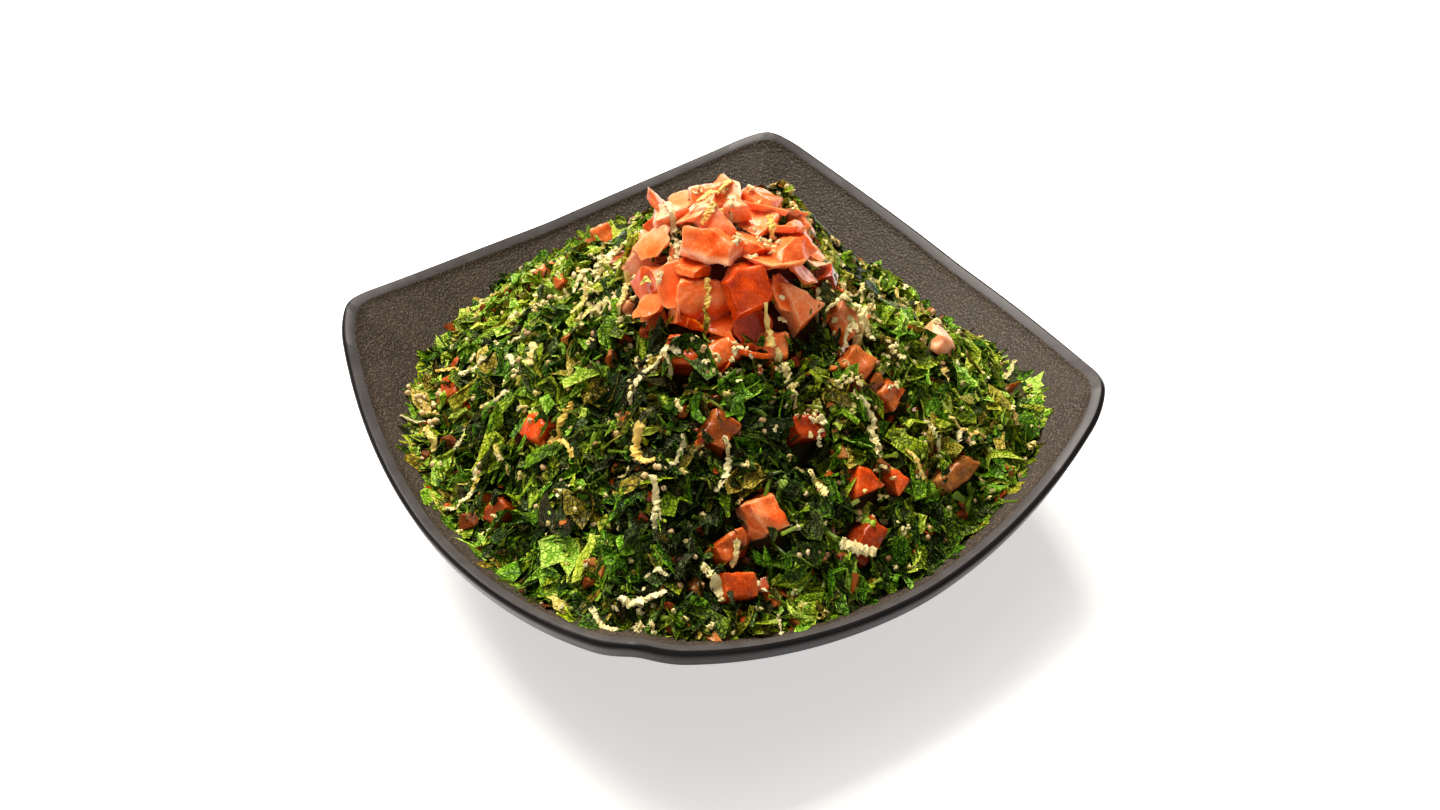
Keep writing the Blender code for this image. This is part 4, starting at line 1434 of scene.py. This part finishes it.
# Heaps of cheese crumbs: x, y, spread, number of crumbs, tone.
CRUMB_HEAPS = (
    (-14, 35, 8.0, 12, 0.1),
    (-23, 26, 7.0, 12, 0.12),
    (-28, 14, 6.0, 8, 0.2),
    (-31, -15, 5.0, 11, 0.02),
    (-15, -29, 6.0, 16, 0.1),
    (21, -29, 6.0, 8, 0.1),
    (28, -38, 6.0, 4, 0.12),
    (31, -45, 5.0, 9, 0.2),
    (8, -13, 5.0, 10, 0.05),
    (-1, -12, 5.0, 6, 0.05),
    (2, 12, 6.0, 6, 0.05),
    (14, 8, 6.0, 7, 0.05),
    (-12, 2, 4.0, 6, 0.02),
    (-72, -68, 6.0, 16, 0.08),
    (-3, -52, 5.0, 11, 0.1),
    (10, -48, 6.0, 14, 0.2),
    (-33, 44, 6.0, 15, 0.2),
    (42, 12, 5.0, 11, 0.2),
    (6, -70, 5.0, 7, 0.2),
)
# Tangles of short shreds: x, y, spread, number of shreds, tone.
SHRED_NESTS = (
    (-20, 31, 9.0, 16, 0.2),
    (-29, 17, 6.0, 8, 0.15),
    (25, -29, 8.0, 6, 0.15),
    (35, -25, 6.0, 5, 0.3),
)
LOOSE_SHREDS, LOOSE_CRUMBS = 70, 300


def lay_path(x, y, bearing, length, curl, clearance):
    """Points of a strand of a length that lies over what is under it."""
    steps = max(int(length * 1.9), 6)
    share = np.linspace(-0.5, 0.5, steps)
    heading = math.radians(bearing) + curl * share * 2 + 0.5 * rng.standard_normal(steps).cumsum() / steps
    stride = length / steps
    for _ in range(3):
        at_x, at_y = np.cumsum(np.cos(heading)) * stride, np.cumsum(np.sin(heading)) * stride
        at_x, at_y = x + at_x - at_x.mean(), y + at_y - at_y.mean()
        heights = TOP.at(at_x, at_y) + clearance
        for _ in range(3):
            padded = np.pad(heights, 1, mode="edge")
            heights = np.maximum(heights, (padded[:-2] + padded[1:-1] + padded[2:]) / 3)
        path = np.stack([at_x, at_y, heights], 1)
        stride *= length / np.linalg.norm(np.diff(path, axis=0), axis=1).sum()
    return path


def add_shred(batch, x, y, bearing, length, width, curl, tone):
    path = lay_path(x, y, bearing, length, curl, width * 0.3)
    steps = len(path)
    ends = np.minimum(1, 0.45 + 2.2 * np.sin(math.pi * np.linspace(0.02, 0.98, steps)))
    wide = width * ends * rng.uniform(0.6, 1.55, steps)
    thick = width * ends * rng.uniform(0.25, 0.5, steps)
    roll = rng.uniform(-0.5, 0.5) + rng.uniform(-0.5, 0.5) * np.linspace(0, 1, steps)
    points, faces, _ = tube(path, wide, thick, 8, roll)
    points += 0.22 * rng.standard_normal(points.shape)
    batch.add(points, faces, points, tone=tone)


def cheese_crumb(size):
    """A few knobbly bits of cheese that stick together."""
    parts, points, faces = rng.integers(1, 4), [], []
    for _ in range(parts):
        steps = 5
        path = curved_path(size / parts**0.5, steps, rng.uniform(-3.0, 3.0), rng.uniform(-0.3, 0.3))
        path += 0.16 * rng.standard_normal((steps, 3))
        wide = rng.uniform(0.6, 1.5, steps) * (0.6, 1, 1, 1, 0.6)
        knob, sides, _ = tube(path, wide, wide * rng.uniform(0.4, 0.9, steps), 6, rng.uniform(0, 6.3))
        knob = knob @ frames(UPWARD, 60)[0].T + rng.uniform(-0.3, 0.3, 3) * size * (parts > 1)
        faces.append(sides + sum(map(len, points)))
        points.append(knob + 0.12 * rng.standard_normal(knob.shape))
    points = np.concatenate(points)
    return points, np.concatenate(faces), np.zeros(len(points))


def grain(size):
    """A plump grain, a little uneven."""
    shape = bmesh.new()
    bmesh.ops.create_icosphere(shape, subdivisions=2, radius=0.5)
    ball, faces = bmesh_arrays(shape)
    shape.free()
    points = ball * (1 + 0.3 * ripples(ball, 0.42, rng.uniform(0, 99)))[:, None]
    return points * size * rng.uniform(0.72, 1.2, 3), faces, np.zeros(len(points))


def add_lump(batch, shapes, x, y, tone, sink):
    """Lays one small shape on whatever lies highest at a place."""
    shape, faces, _ = shapes[rng.integers(len(shapes))]
    axis = frames(UPWARD, 35)[0]
    points = shape @ axis.T
    points += (x, y, TOP.at(x, y) - points[:, 2].min() - sink)
    batch.add(points, faces, points, tone=tone)


def build_cheese():
    batch = Batch("cheese_shreds")
    for row in SHREDS:
        add_shred(batch, *row)
    for x, y, spread, count, tone in SHRED_NESTS:
        for dx, dy in rng.standard_normal((count, 2)) * spread * 0.5:
            add_shred(batch, x + dx, y + dy, rng.uniform(0, 360), rng.uniform(4, 9), rng.uniform(0.9, 1.7),
                      rng.uniform(-1.0, 1.0), tone + rng.uniform(-0.15, 0.35))
    x, y = sites(LOOSE_SHREDS, 0.3)
    for at_x, at_y in zip(x, y):
        length, width = rng.uniform(4, 12), rng.uniform(0.8, 1.6)
        tone = rng.choice((0.08, 0.15, 0.3, 0.55), p=(0.4, 0.25, 0.2, 0.15))
        add_shred(batch, at_x, at_y, rng.uniform(0, 360), length, width, rng.uniform(-0.8, 0.8), tone)
    finish = cheese_finish()
    batch.build(finish, "salad")
    crumbs = Batch("cheese_crumbs")
    shapes = templates(cheese_crumb, 1.4, 3.6, 40)
    for x, y, spread, count, tone in CRUMB_HEAPS:
        for dx, dy in rng.standard_normal((count, 2)) * spread * 0.55:
            add_lump(crumbs, shapes, x + dx, y + dy, tone + rng.uniform(-0.1, 0.15), 0.7)
    x, y = sites(LOOSE_CRUMBS, 0.4)
    for at_x, at_y in zip(x, y):
        add_lump(crumbs, shapes, at_x, at_y, rng.uniform(0, 0.45), 1.0)
    crumbs.build(finish, "salad")


# ---------------------------------------------------------------- grains

GRAIN_HEAPS = ((-74, 52, 3.5, 8), (-70, 45, 3.5, 6), (-76, 40, 3.0, 4), (-50, -46, 6.0, 5), (-30, 40, 8.0, 4))
LOOSE_GRAINS = 260


def build_grains():
    batch = Batch("grains")
    shapes = templates(grain, 1.3, 2.4, 24)
    for x, y, spread, count in GRAIN_HEAPS:
        for dx, dy in rng.standard_normal((count, 2)) * spread * 0.5:
            add_lump(batch, shapes, x + dx, y + dy, rng.uniform(0, 0.4), 0.3)
    x, y = sites(LOOSE_GRAINS, 0.1)
    for at_x, at_y in zip(x, y):
        add_lump(batch, shapes, at_x, at_y, rng.uniform(0.1, 1.0), 1.6)
    batch.build(grain_finish(), "salad")


# ---------------------------------------------------------------- studio

FLOOR_SIZE = 16.0  # metres
FLOOR_GLOW = 0.56  # a lit table, which keeps the shadow pale


def build_floor():
    shape = bmesh.new()
    bmesh.ops.create_grid(shape, x_segments=8, y_segments=8, size=FLOOR_SIZE / 2)
    mesh = bpy.data.meshes.new("floor")
    shape.to_mesh(mesh)
    shape.free()
    made = Finish("floor", specular_ior_level=0.2, emission_strength=FLOOR_GLOW,
                  emission_color=(1.0, 0.985, 0.975, 1.0))
    cloud = made.noise(300.0, 2.0)
    colour = made.ramp(cloud, ((0.3, (0.86, 0.855, 0.85)), (0.7, (0.885, 0.88, 0.875))))
    mesh.materials.append(made.link(Base_Color=colour, Roughness=made.span(cloud, 0.3, 0.7, 0.5, 0.6)))
    floor = bpy.data.objects.new("floor", mesh)
    bpy.context.scene.collection.objects.link(floor)


def aim(obj, target):
    """Turns a light, which shines along -Z, towards a point in metres."""
    direction = Vector(target) - obj.location
    obj.rotation_mode = "QUATERNION"
    obj.rotation_quaternion = direction.to_track_quat("-Z", "Y")


# Lights: name, size in metres, power in watts, place in metres, colour.
LIGHTS = (
    ("key", 1.15, 57.0, (0.14, 0.82, 1.28), (1.0, 0.95, 0.87)),
    ("top", 1.4, 7.0, (-0.1, 0.4, 1.7), (1.0, 0.97, 0.91)),
    ("front_fill", 1.2, 2.5, (-0.4, -1.5, 0.9), (1.0, 0.97, 0.92)),
)
WORLD_COLOUR, WORLD_STRENGTH = (1.0, 0.98, 0.94), 0.16


def build_lights():
    for name, size, power, place_at, colour in LIGHTS:
        data = bpy.data.lights.new(name, "AREA")
        data.shape, data.size, data.energy, data.color = "SQUARE", size, power, colour
        light = bpy.data.objects.new(name, data)
        light.location = place_at
        bpy.context.scene.collection.objects.link(light)
        aim(light, (0, 0, 0.05))
    world = bpy.data.worlds.new("studio")
    world.use_nodes = True
    background = world.node_tree.nodes["Background"]
    background.inputs["Color"].default_value = (*WORLD_COLOUR, 1.0)
    background.inputs["Strength"].default_value = WORLD_STRENGTH
    bpy.context.scene.world = world


def build_camera():
    azimuth, elevation = math.radians(CAMERA_AZIMUTH), math.radians(CAMERA_ELEVATION)
    back = Vector((math.sin(azimuth) * math.cos(elevation), -math.cos(azimuth) * math.cos(elevation),
                   math.sin(elevation)))
    right = Vector((math.cos(azimuth), math.sin(azimuth), 0.0))
    axes = Matrix((right, back.cross(right), back)).transposed()
    axes = axes @ Matrix.Rotation(math.radians(-CAMERA_ROLL), 3, "Z")
    data = bpy.data.cameras.new("camera")
    data.lens, data.sensor_width = CAMERA_LENS, CAMERA_SENSOR
    data.shift_x, data.shift_y = CAMERA_SHIFT
    camera = bpy.data.objects.new("camera", data)
    camera.matrix_world = Matrix.LocRotScale(
        (back * CAMERA_DISTANCE + Vector((0, 0, CAMERA_AIM_HEIGHT))) * MM, axes.to_quaternion(), None)
    bpy.context.scene.collection.objects.link(camera)
    bpy.context.scene.camera = camera


def main():
    build_camera()
    build_lights()
    build_floor()
    build_bowl()
    build_core()
    settle(build_herbs() + build_tomatoes())
    build_cheese()
    build_grains()
    bpy.context.scene.view_settings.view_transform = "Standard"


main()
